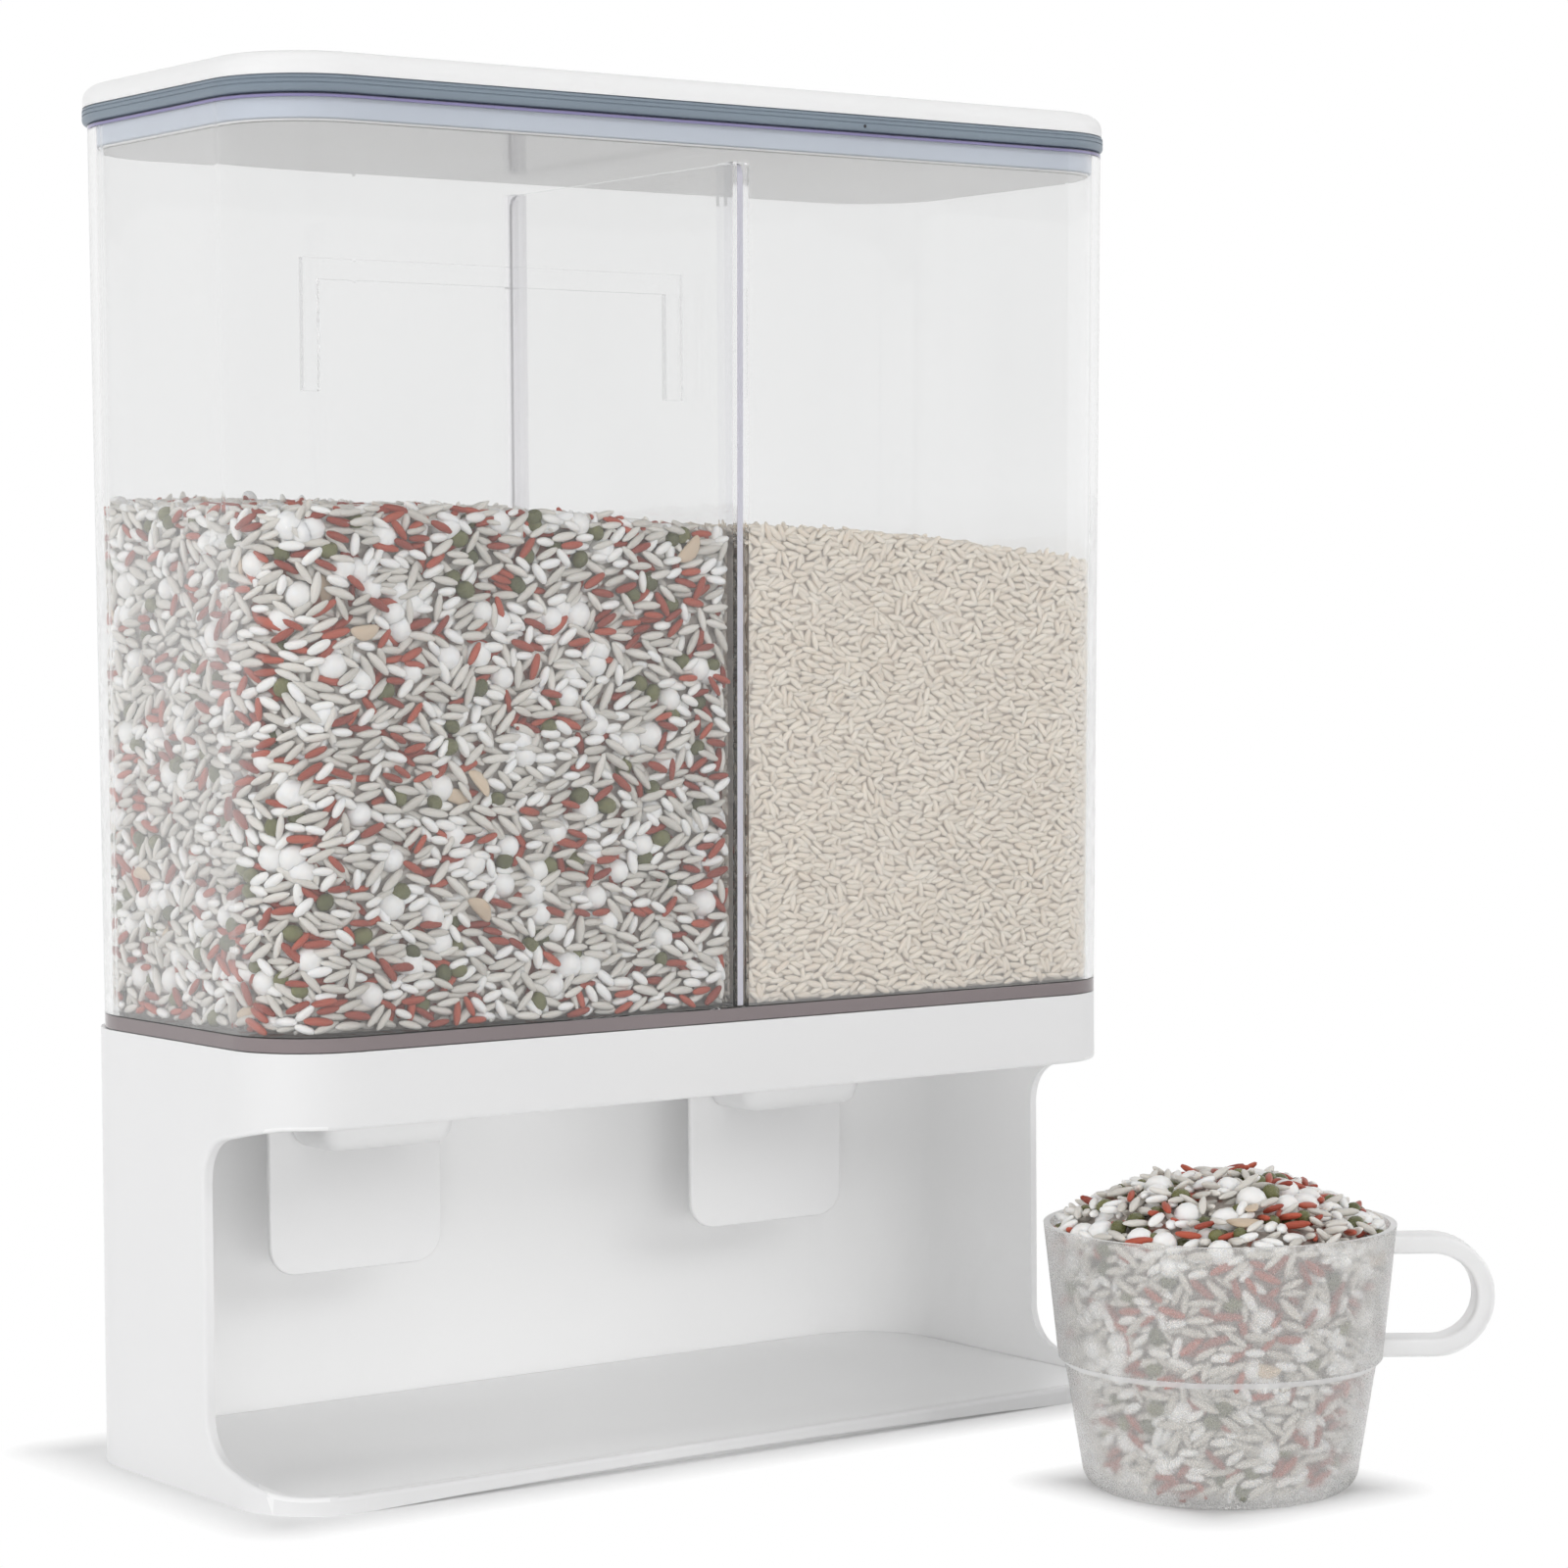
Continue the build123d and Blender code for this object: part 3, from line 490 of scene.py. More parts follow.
def tank_faces(centres, normals):
    """Walls 0, front ribs 1, hanger edges 2, top of the rim 3 with a purple line of painted light, insides
    of the walls 4 with rice dust and painted sheen, rear ribs 5.
    """
    x, y, z = centres.T
    numbers = np.zeros(len(centres))
    above_floor = z > FLOOR_TOP + 0.7
    upright = (np.abs(normals[:, 2]) < 0.5) & above_floor
    on_side = np.abs(x) > HALF_WIDTH - FRONT_CORNER - 1
    outward = normals[:, 0] * np.sign(x) * on_side + normals[:, 1] * np.sign(y)
    # Insides of the walls: rice dust and painted sheen below the grain's top.
    numbers[upright & (outward < 0) & (y < TANK_BACK - 0.5)] = 4
    ribs = (np.abs(x - DIVIDER_X) < 3.0) & above_floor & (z < RIB_TOP)
    numbers[ribs & (y < RIB_ENDS[0])] = 1
    numbers[ribs & (y > RIB_ENDS[1])] = 5
    behind = (y > TANK_BACK + 0.1) & (np.abs(x) < HANGER_HALF_WIDTH) & (z > HANGER_LOW)
    numbers[behind & (np.abs(normals[:, 1]) < 0.5)] = 2
    # Top of the rim: the purple line of painted light.
    numbers[(z > TANK_LOW + TANK_HEIGHT - 0.5) & (normals[:, 2] > 0.9)] = 3
    return numbers


def divider_faces(centres, normals):
    """Broad faces 0, front cut edge 1 with a lavender line of painted light, top edge 2, rear edge 3."""
    numbers = (np.abs(normals[:, 0]) < 0.9).astype(float)
    numbers[normals[:, 2] > 0.9] = 2
    numbers[normals[:, 1] > 0.9] = 3
    return numbers


def cup_faces(centres, normals):
    """Wall 0, thicker rim, step and handle 1: milkier where the plastic is thicker, which on the step is
    also a painted highlight line.
    """
    x, y, z = centres.T
    radius = np.hypot(x - CUP_X, y - CUP_Y)
    upper_slope = (CUP_RIM - CUP_ABOVE_STEP) / (CUP_HEIGHT - CUP_STEP_HIGH)
    lower_slope = (CUP_BELOW_STEP - CUP_FOOT) / (CUP_STEP_LOW - CUP_FOOT_ROUND)
    upper = CUP_ABOVE_STEP + (z - CUP_STEP_HIGH) * upper_slope
    lower = CUP_FOOT + (z - CUP_FOOT_ROUND) * lower_slope
    wall = np.where(z > CUP_STEP_LOW + 1, upper, lower)
    rim = z > CUP_HEIGHT - 0.5
    on_step = (z > CUP_STEP_LOW + 0.05) & (z < CUP_STEP_HIGH - 0.05)
    step = on_step & (radius > CUP_BELOW_STEP - 0.1)
    handle = radius > wall + 0.4
    return (rim | step | handle).astype(float)


tank_choices = (tank_plastic, rib_plastic, hanger_edge, rim_painted_light, dust_and_sheen_wall, back_rib)
dressed_copy("base_shell", (white_base, bay_white_painted_lighter), base_faces)
dressed_copy("tank", tank_choices, tank_faces)
dressed_copy("divider", (divider_plastic, cut_edge_painted_light, cut_top, back_edge), divider_faces)
dressed_copy("cup", (cup_plastic, cup_thick_and_highlight), cup_faces)


# Return springs

def split_spring(side):
    """The spring's coil and upper leg stay on the body, and the leg behind the push plate swings with it."""
    name = f"{side}_return_spring"
    node = nodes[name]
    leg_side = min(vertex.co.x for vertex in node.data.vertices) / MM + 2.0

    def in_leg(face):
        centre = face.calc_center_median() / MM
        return centre.y > HINGE_Y + 1.1 and centre.z < HINGE_Z and centre.x < leg_side

    for part, body, stands_for in (("coil", "dispenser", name), ("leg", f"{side}_push", None)):
        mesh = node.data.copy()
        shape = bmesh.new()
        shape.from_mesh(mesh)
        bmesh.ops.remove_doubles(shape, verts=shape.verts, dist=0.001 * MM)
        everything = shape.verts[:] + shape.edges[:] + shape.faces[:]
        cut_height = (0, 0, HINGE_Z * MM)
        bmesh.ops.bisect_plane(shape, geom=everything, plane_co=cut_height, plane_no=(0, 0, 1), dist=1e-8)
        others = [face for face in shape.faces if in_leg(face) != (part == "leg")]
        bmesh.ops.delete(shape, geom=others, context="FACES")
        bmesh.ops.holes_fill(shape, edges=[edge for edge in shape.edges if edge.is_boundary], sides=0)
        shape.to_mesh(mesh)
        shape.free()
        place_piece(link(f"{name}_{part}", mesh), body, stands_for)


split_spring("left")
split_spring("right")


# Kinds of grain

kinds = {}


def add_kind(name, size, blunt, bend, light, dark, edge, roughness, depth=0.001):
    """Kind of grain by its size, how blunt its ends are, its bend and its skin."""
    skin = grain_material(f"{name}_skin", light, dark, edge, roughness, depth)
    kinds[name] = {"size": size, "blunt": blunt, "bend": bend, "skin": skin}


def is_big(name):
    """Whether a kind is wider than rice."""
    return kinds[name]["size"][1] > BIG_WIDTH


# The last colour of each kind is for its streaks and for the painted glow at its edges.
add_kind("clear_rice", (8.3, 2.6, 2.1), 0.56, 0.10,
         (0.79, 0.765, 0.72), (0.61, 0.585, 0.54), (0.73, 0.705, 0.665), 0.35)
add_kind("white_rice", (6.5, 2.9, 2.4), 0.46, 0.05,
         (0.96, 0.95, 0.935), (0.90, 0.89, 0.865), (0.90, 0.89, 0.87), 0.45)
add_kind("red_rice", (7.4, 2.4, 2.0), 0.42, 0.06,
         (0.52, 0.11, 0.06), (0.27, 0.045, 0.028), (0.38, 0.10, 0.065), 0.42, depth=0.0006)
add_kind("green_bean", (5.4, 4.6, 4.5), 0.5, 0.0,
         (0.20, 0.20, 0.075), (0.09, 0.095, 0.035), (0.11, 0.12, 0.06), 0.25, depth=0.0005)
add_kind("white_bead", (8.0, 7.8, 7.8), 0.5, 0.0,
         (0.95, 0.945, 0.935), (0.91, 0.90, 0.885), (0.89, 0.885, 0.87), 0.4)
add_kind("oat_flake", (9.5, 4.4, 1.8), 0.62, 0.55,
         (0.74, 0.61, 0.47), (0.58, 0.46, 0.35), (0.62, 0.52, 0.40), 0.5)
add_kind("long_rice", (5.6, 2.1, 1.7), 0.50, 0.08,
         (0.92, 0.83, 0.72), (0.80, 0.705, 0.595), (0.86, 0.77, 0.66), 0.5, depth=0.0012)

mixed_shares = {"clear_rice": 0.54, "white_rice": 0.21, "red_rice": 0.155, "green_bean": 0.04,
                "white_bead": 0.045, "oat_flake": 0.004}
rice_shares = {"long_rice": 1.0}
# Core colours darker than the loose grain: painted shade in the gaps between grains.
mixed_pile_painted_shade = pile_with_painted_shade("mixed_pile_painted_shade", (0.56, 0.51, 0.47), (0.38, 0.34, 0.31), (0.28, 0.12, 0.09))
rice_pile_painted_shade = pile_with_painted_shade("rice_pile_painted_shade", (0.82, 0.725, 0.62), (0.71, 0.61, 0.51), (0.59, 0.49, 0.40))


# Meshes

def make_mesh_object(name, points, face_arrays, material, tones=None):
    """Smooth mesh object from points in metres and arrays of faces, each of one size."""
    mesh = bpy.data.meshes.new(name)
    corner_count = sum(array.size for array in face_arrays)
    face_count = sum(len(array) for array in face_arrays)
    corners = np.concatenate([array.ravel() for array in face_arrays])
    sizes = np.concatenate([np.full(len(array), array.shape[1]) for array in face_arrays])
    starts = np.concatenate([[0], np.cumsum(sizes)[:-1]])
    mesh.vertices.add(len(points))
    mesh.vertices.foreach_set("co", np.ascontiguousarray(points, dtype=np.float32).ravel())
    mesh.loops.add(corner_count)
    mesh.loops.foreach_set("vertex_index", corners.astype(np.int32))
    mesh.polygons.add(face_count)
    mesh.polygons.foreach_set("loop_start", starts.astype(np.int32))
    mesh.polygons.foreach_set("use_smooth", np.ones(face_count, dtype=bool))
    if tones is not None:
        attribute = mesh.attributes.new("tone", "FLOAT", "POINT")
        attribute.data.foreach_set("value", tones.astype(np.float32))
    mesh.update()
    mesh.validate()
    mesh.materials.append(material)
    return link(name, mesh)


def grain_template(blunt, bend, round_parts, length_parts):
    """Points, triangles and quads of one grain that fills the cube from -1 to 1."""
    points = [(-1.0, 0.0, 0.0)]
    for ring in range(1, length_parts):
        along = -math.cos(math.pi * ring / length_parts)
        radius = (1 - abs(along) ** 2) ** blunt
        shift = bend * (1 - along ** 2)
        for part in range(round_parts):
            angle = 2 * math.pi * part / round_parts
            points.append((along, radius * math.cos(angle) + shift, radius * math.sin(angle)))
    points.append((1.0, 0.0, 0.0))
    last = len(points) - 1
    triangles = []
    quads = []
    for part in range(round_parts):
        after = (part + 1) % round_parts
        triangles.append((0, 1 + after, 1 + part))
        for ring in range(length_parts - 2):
            low = 1 + ring * round_parts
            high = low + round_parts
            quads.append((low + part, low + after, high + after, high + part))
        low = 1 + (length_parts - 2) * round_parts
        triangles.append((low + part, low + after, last))
    return np.array(points), np.array(triangles), np.array(quads)


def grains_to_object(name, kind_name, grains):
    """Mesh of a kind's grains, each row a centre, three unit axes, three sizes and a tone."""
    kind = kinds[kind_name]
    round_parts, length_parts = (12, 8) if is_big(kind_name) else (7, 6)
    points, triangles, quads = grain_template(kind["blunt"], kind["bend"], round_parts, length_parts)
    rows = np.array(grains)
    centres = rows[:, 0:3]
    axes = rows[:, 3:12].reshape(-1, 3, 3)
    halves = rows[:, 12:15] / 2
    local = points[None, :, :] * halves[:, None, :]
    placed = centres[:, None, :] + np.einsum("nvk,nkj->nvj", local, axes)
    offsets = (np.arange(len(rows)) * len(points))[:, None, None]
    all_triangles = (triangles[None] + offsets).reshape(-1, 3)
    all_quads = (quads[None] + offsets).reshape(-1, 4)
    tones = np.repeat(rows[:, 15], len(points))
    placed = placed.reshape(-1, 3) * MM
    return make_mesh_object(name, placed, [all_triangles, all_quads], kind["skin"], tones)


def quads_between(first, second, count):
    """Quads between two rings of points, from the number of each ring's first point."""
    quads = []
    for i in range(count):
        after = (i + 1) % count
        quads.append((first + i, first + after, second + after, second + i))
    return quads


def ring_of_corners(corners, steps, height):
    """Ring of points round corners, each with a centre, a radius and the angle it starts at."""
    ring = []
    for x, y, radius, start in corners:
        for step in range(steps + 1):
            angle = math.radians(start + 90 / steps * step)
            ring.append((x + radius * math.cos(angle), y + radius * math.sin(angle), height))
    return ring


def ring_solid(name, rings, material):
    """Closed smooth solid from rings of the same number of points, with flat fans at both ends."""
    count = len(rings[0])
    ends = np.array([np.mean(rings[0], axis=0), np.mean(rings[-1], axis=0)])
    points = np.concatenate([np.array(ring) for ring in rings] + [ends])
    last = (len(rings) - 1) * count
    bottom = last + count
    top = bottom + 1
    quads = []
    for start in range(0, last, count):
        quads += quads_between(start, start + count, count)
    fans = [(bottom, (i + 1) % count, i) for i in range(count)]
    fans += [(top, last + i, last + (i + 1) % count) for i in range(count)]
    return make_mesh_object(name, points * MM, [np.array(fans), np.array(quads)], material)


# Filling a flat map with grains

def grain_scale(scale_step):
    """Size of a grain next to its kind, for a step from 0 to 2."""
    return 0.9 + 0.1 * scale_step


@functools.cache
def stamp_of(kind_name, scale_step, angle_step):
    """Cells that a grain covers, as offsets. A big one's edge lies deeper, so it covers less."""
    seen = 0.85 if is_big(kind_name) else 1.0
    length, width = [part * grain_scale(scale_step) * seen for part in kinds[kind_name]["size"][:2]]
    angle = math.pi * angle_step / ANGLE_STEPS
    reach = int(math.ceil(length / 2 / CELL)) + 1
    across, along = np.mgrid[-reach:reach + 1, -reach:reach + 1]
    u = (along * math.cos(angle) + across * math.sin(angle)) * CELL
    v = (-along * math.sin(angle) + across * math.cos(angle)) * CELL
    inside = (2 * u / length) ** 2 + (2 * v / width) ** 2 <= 1
    return along[inside], across[inside]


def draw_grains(names, chances, tries, angle_spread):
    """Kinds, the big ones first, and steps of size and angle of the grains to lay. Some lie at any angle."""
    picks = rng.choice(len(names), size=tries, p=chances)
    picks = picks[np.argsort([not is_big(names[pick]) for pick in picks], kind="stable")]
    turned = rng.normal(0, angle_spread, tries)
    loose = rng.random(tries) < 0.12
    turned[loose] = rng.uniform(-90, 90, loose.sum())
    angle_steps = np.round(turned / 180 * ANGLE_STEPS).astype(int) % ANGLE_STEPS
    scale_steps = rng.integers(0, 3, tries)
    return [names[pick] for pick in picks], scale_steps, angle_steps


def fill_map(covered, shares, allowed, tries, angle_spread, border=None, wrap=False):
    """Lays ellipses on a map's free cells, off its border. Gives each one's kind, size, angle and cell."""
    names = list(shares)
    chances = np.array(list(shares.values()))
    chances = chances / chances.sum()
    height, width = covered.shape
    free = np.flatnonzero(~covered.ravel())
    rng.shuffle(free)
    drawn = draw_grains(names, chances, tries, angle_spread)
    big_limit = {name: int(tries * chance * 0.09) for name, chance in zip(names, chances)}
    counts = dict.fromkeys(names, 0)
    placed = []
    position = 0
    for name, scale_step, angle_step in zip(*drawn):
        if is_big(name) and counts[name] >= big_limit[name]:
            continue
        while position < len(free) and covered.flat[free[position]]:
            position += 1
        if position >= len(free):
            break
        row, column = divmod(int(free[position]), width)
        position += 1
        along, across = stamp_of(name, scale_step, angle_step)
        columns = column + along
        rows = row + across
        if wrap:
            columns = columns % width
        if rows.min() < 0 or rows.max() >= height or columns.min() < 0 or columns.max() >= width:
            continue
        if border is not None and border[rows, columns].any():
            continue
        if covered[rows, columns].sum() <= allowed * len(rows):
            covered[rows, columns] = True
            counts[name] += 1
            size = tuple(grain_scale(scale_step) * part for part in kinds[name]["size"])
            placed.append((name, size, math.pi * angle_step / ANGLE_STEPS, column, row))
    return placed


# Grains in space

def tilted_axes(tangent, inward, upward, angle, tilt, roll):
    """Unit axes of a grain that lies on a surface, turned in it, tipped out of it and rolled."""
    long_axis = math.cos(angle) * tangent + math.sin(angle) * upward
    side_axis = -math.sin(angle) * tangent + math.cos(angle) * upward
    long_axis, inward = (math.cos(tilt) * long_axis + math.sin(tilt) * inward,
                         -math.sin(tilt) * long_axis + math.cos(tilt) * inward)
    side_axis, inward = (math.cos(roll) * side_axis + math.sin(roll) * inward,
                         -math.sin(roll) * side_axis + math.cos(roll) * inward)
    return long_axis, side_axis, inward


def lying_axes(angle, tilt, roll):
    """Unit axes of a grain that lies on a level surface."""
    return tilted_axes(RIGHTWARD, UPWARD, BACKWARD, angle, tilt, roll)


def wall_reach(size, angle, tilt, radius):
    """Depth of a grain's centre when it touches a wall of a radius, 0 for a flat one."""
    length, width, thickness = size
    reach = math.hypot(length / 2 * math.sin(tilt), thickness / 2 * math.cos(tilt))
    if radius:
        reach += (length / 2 * math.cos(angle)) ** 2 / 2 / radius
    return reach


def add_grain(store, name, centre, axes, size):
    """Stores a grain under its kind, with a tone of its own."""
    store.setdefault(name, []).append((*centre, *axes[0], *axes[1], *axes[2], *size, rng.random()))


def fill_layers(covered, layers, shares, place_at, store, wrap=False):
    """Layers of grain behind a wall, each seen through the gaps of the one before."""
    for layer, (allowed, tries, shallow, deep, spread, tipped) in enumerate(layers):
        for name, size, angle, column, row in fill_map(covered, shares, allowed, tries, spread, wrap=wrap):
            tilt = rng.normal(0, tipped)
            reach = wall_reach(size, angle, tilt, place_at(column, row, 0)[3])
            depth = rng.uniform(shallow, deep)
            depth = reach + depth if layer == 0 else max(reach + 0.1, depth)
            point, tangent, inward, _ = place_at(column, row, depth)
            tangent = np.array((*tangent, 0.0))
            inward = np.array((*inward, 0.0))
            axes = tilted_axes(tangent, inward, UPWARD, angle, tilt, rng.normal(0, 0.3))
            add_grain(store, name, point, axes, size)


def fill_top(outside, xs, ys, height_at, shares, store, tries):
    """Loose grain over a top, in three layers, tipped every way."""
    covered = outside.copy()
    for allowed, drop, tipped in TOP_LAYERS:
        for name, size, angle, column, row in fill_map(covered, shares, allowed, tries, 90, border=outside):
            x, y = xs[column], ys[row]
            tilt = rng.normal(0, tipped)
            height = float(height_at(x, y)) - drop - size[2] / 2 + rng.uniform(-0.5, 0.7)
            add_grain(store, name, (x, y, height), lying_axes(angle, tilt, rng.normal(0, 0.4)), size)


def store_to_objects(prefix, store, body, node):
    """Turns stored grains into objects that ride on a body and stand for a node."""
    for name, grains in store.items():
        for part, start in enumerate(range(0, len(grains), GRAINS_PER_PIECE)):
            some = grains[start:start + GRAINS_PER_PIECE]
            place_piece(grains_to_object(f"{prefix}_{name}_{part + 1}", name, some), body, node)


# The chambers' walls

def level_at(chamber, x, y):
    """Height of the grain's top over a point."""
    side = CHAMBERS[chamber]
    knots = np.linspace(*side["span"], 4)
    front_line = np.polyval(np.polyfit(knots, side["front_fill"], 3), x)
    back_line = np.polyval(np.polyfit(knots, side["back_fill"], 3), x)
    share = (np.asarray(y) - (FRONT - 1)) / (BACK - FRONT + 1)
    return FLOOR_TOP + TANK_HEIGHT * (front_line * (1 - share) + back_line * share)


def side_end(grow):
    """Y where a chamber's side wall ends and its rear corner begins."""
    return TANK_BACK - TANK_WALL - REAR_CORNER - grow


def wall_runs(chamber):
    """Lengths of a chamber's inner wall, from the divider's front round to its back and along it."""
    rib_side = CHAMBERS[chamber]["rib_side"]
    grow = FLARE * 0.3 - TANK_WALL
    return {
        "front": HALF_WIDTH - FRONT_CORNER - rib_side,
        "front_corner": math.pi / 2 * (FRONT_CORNER + grow),
        "side": side_end(grow) - (FRONT + FRONT_CORNER),
        "rear_corner": math.pi / 2 * (REAR_CORNER + grow),
        "back": HALF_WIDTH - REAR_CORNER - rib_side,
        "divider": TANK_BACK - FRONT - 2 * (TANK_WALL + RIB_REACH),
    }


def corner_place(sign, run, turn, grow, depth):
    """The same as wall_place, for an outer corner and the turn from its start."""
    if run == "front_corner":
        corner = FRONT_CORNER
        outward = (sign * math.sin(turn), -math.cos(turn))
        tangent = (sign * math.cos(turn), math.sin(turn))
        centre_y = FRONT + FRONT_CORNER
    else:
        corner = REAR_CORNER
        outward = (sign * math.cos(turn), math.sin(turn))
        tangent = (-sign * math.sin(turn), math.cos(turn))
        centre_y = side_end(grow)
    radius = corner + grow
    reach = radius - depth
    point = (sign * (HALF_WIDTH - corner) + outward[0] * reach, centre_y + outward[1] * reach)
    return point, tangent, (-outward[0], -outward[1]), radius


def wall_place(chamber, along, height, depth):
    """Point, direction along, inward direction and radius at a distance along a chamber's wall."""
    side = CHAMBERS[chamber]
    sign = side["sign"]
    grow = FLARE * (height - TANK_LOW) / TANK_HEIGHT - TANK_WALL
    for run, length in wall_runs(chamber).items():
        if along <= length or run == "divider":
            break
        along -= length
    if run == "front":
        return (side["rib_side"] + sign * along, FRONT - grow + depth), (sign, 0), (0, 1), 0.0
    if run in ("front_corner", "rear_corner"):
        return corner_place(sign, run, along / length * math.pi / 2, grow, depth)
    if run == "side":
        share = along / length
        y = (FRONT + FRONT_CORNER) * (1 - share) + side_end(grow) * share
        return (sign * (HALF_WIDTH + grow - depth), y), (0, 1), (-sign, 0), 0.0
    inner_back = TANK_BACK - TANK_WALL
    if run == "back":
        return (sign * (HALF_WIDTH - REAR_CORNER - along), inner_back - depth), (-sign, 0), (0, -1), 0.0
    point = (side["divider_face"] + sign * depth, inner_back - RIB_REACH - along)
    return point, (0, -1), (sign, 0), 0.0


# Filling the chambers

def fill_walls(chamber, shares, store):
    """Loose grain behind a chamber's walls, up to its level."""
    low = FLOOR_TOP + 0.3
    map_height = 156
    columns = int(sum(wall_runs(chamber).values()) / CELL)
    covered = np.zeros((int(map_height / CELL), columns), bool)
    for column in range(columns):
        point = wall_place(chamber, (column + 0.5) * CELL, low + 70, 0)[0]
        covered[int((level_at(chamber, *point) - low) / CELL):, column] = True

    def place_at(column, row, depth):
        height = low + (row + 0.5) * CELL
        point, tangent, inward, radius = wall_place(chamber, (column + 0.5) * CELL, height, depth)
        return (*point, height), tangent, inward, radius

    fill_layers(covered, CHAMBERS[chamber]["wall_layers"], shares, place_at, store)


def top_map(chamber):
    """Map of a chamber from above, True outside it, and the places of its columns and rows."""
    side = CHAMBERS[chamber]
    xs = np.arange(-HALF_WIDTH - 5, HALF_WIDTH + 5, CELL) + CELL / 2
    ys = np.arange(FRONT - 3, BACK + 3, CELL) + CELL / 2
    x, y = np.meshgrid(xs, ys)
    grow = FLARE * 0.55 - TANK_WALL - TOP_INSET
    inner_back = TANK_BACK - TANK_WALL - TOP_INSET
    outside = (np.abs(x) > HALF_WIDTH + grow) | (y < FRONT - grow) | (y > inner_back)
    before = FRONT + FRONT_CORNER - y
    behind = y - (inner_back - REAR_CORNER - grow)
    for corner, past in ((FRONT_CORNER, before), (REAR_CORNER, behind)):
        across = np.abs(x) - (HALF_WIDTH - corner)
        outside |= (across > 0) & (past > 0) & (np.hypot(across, past) > corner + grow)
    outside |= side["sign"] * (x - side["divider_face"]) < TOP_INSET
    return outside, xs, ys


def chamber_core(chamber, material):
    """Grain inside a chamber, behind the loose layers, from its floor to under the top."""
    side = CHAMBERS[chamber]
    total = sum(wall_runs(chamber).values())

    def outline(height, shrink=1.0, under_top=False):
        places = [wall_place(chamber, along, height, side["core_inset"])[0]
                  for along in np.linspace(0, total - 0.01, 90)]
        middle = np.mean(places, axis=0)
        ring = []
        for x, y in places:
            x = middle[0] + (x - middle[0]) * shrink
            y = middle[1] + (y - middle[1]) * shrink
            ring.append((x, y, level_at(chamber, x, y) - CORE_DROP if under_top else height))
        return ring

    rings = [outline(height) for height in (FLOOR_TOP + 0.5, 160.0, 200.0, 240.0)]
    rings += [outline(265.0, shrink, under_top=True) for shrink in (1.0, 0.85, 0.6, 0.3, 0.05)]
    if side["sign"] > 0:
        rings = [ring[::-1] for ring in rings]
    return ring_solid(f"{chamber}_core", rings, material)


def rounded_ring(x, y, size, height):
    """Rounded rectangle about a point, from its width, length and corner radius."""
    width, length, corner = size
    right = x + width / 2 - corner
    left = x - width / 2 + corner
    rear = y + length / 2 - corner
    front = y - length / 2 + corner
    centres = ((right, rear), (left, rear), (left, front), (right, front))
    return ring_of_corners([(*centre, corner, 90 * i) for i, centre in enumerate(centres)], 5, height)


def throat_core(chamber, material):
    """Grain inside a chamber's funnel and throat."""
    x = CHAMBERS[chamber]["outlet_x"]
    rings = [
        rounded_ring(x, OUTLET_Y, OUTLET_SIZE, OUTLET_LOW),
        rounded_ring(x, OUTLET_Y, OUTLET_SIZE, OUTLET_HIGH),
        rounded_ring(x, 0, FUNNEL_SIZE, FLOOR_TOP - 0.1),
        rounded_ring(x, 0, FUNNEL_SIZE, FLOOR_TOP + 1.5),
    ]
    return ring_solid(f"{chamber}_throat", rings, material)


def fill_outlet(chamber, shares, store):
    """Loose grain over the end of a chamber's throat, with none of the big kinds."""
    names = list(shares)
    chances = np.array(list(shares.values())) / sum(shares.values())
    for along in np.arange(-14.5, 14.6, 2.4):
        for across in (-4.2, -2.1, 0.0, 2.1, 4.2):
            name = names[rng.choice(len(names), p=chances)]
            if is_big(name):
                name = names[0]
            angle = rng.normal(0, 0.4)
            x = CHAMBERS[chamber]["outlet_x"] + along * 0.93
            y = OUTLET_Y + across * 0.95
            height = OUTLET_LOW - 0.8 + rng.uniform(-0.3, 0.5)
            axes = lying_axes(angle, rng.normal(0, 0.1), rng.normal(0, 0.4))
            size = tuple(0.85 * part for part in kinds[name]["size"])
            add_grain(store, name, (x, y, height), axes, size)


def fill_chamber(chamber, shares, pile, node):
    """A chamber's grain: loose on its walls, top and outlet, and solid behind."""
    store = {}
    fill_walls(chamber, shares, store)
    outside, xs, ys = top_map(chamber)
    fill_top(outside, xs, ys, lambda x, y: level_at(chamber, x, y), shares, store, 9000)
    place_piece(chamber_core(chamber, pile), "dispenser", node)
    place_piece(throat_core(chamber, pile), "dispenser", node)
    fill_outlet(chamber, shares, store)
    store_to_objects(chamber, store, "dispenser", node)


# Filling the cup

def cup_radius(height):
    """Inner radius of the cup at a height."""
    round_top = CUP_WALL + CUP_FOOT_ROUND
    if height < round_top:
        return CUP_FOOT - round_top + math.sqrt(max(CUP_FOOT_ROUND ** 2 - (round_top - height) ** 2, 0))
    heights = (round_top, CUP_STEP_LOW, CUP_STEP_HIGH, CUP_HEIGHT)
    outer_radii = (CUP_FOOT, CUP_BELOW_STEP, CUP_ABOVE_STEP, CUP_RIM)
    return float(np.interp(height, heights, outer_radii)) - CUP_WALL


def heap_height(x, y):
    """Height of the heap in the cup: a dome with two low swells."""
    rise = 16.0
    radius = np.hypot(x - CUP_X, y - CUP_Y)
    dome = (46.9 ** 2 + rise ** 2) / (2 * rise)
    top = CUP_HEIGHT + rise - dome + np.sqrt(np.maximum(dome ** 2 - radius ** 2, 0))
    swell = 0.8 * np.sin(0.13 * x + 0.4) * np.cos(0.11 * y)
    return top - 1.2 + swell * np.minimum(1, (47 - radius) / 12)


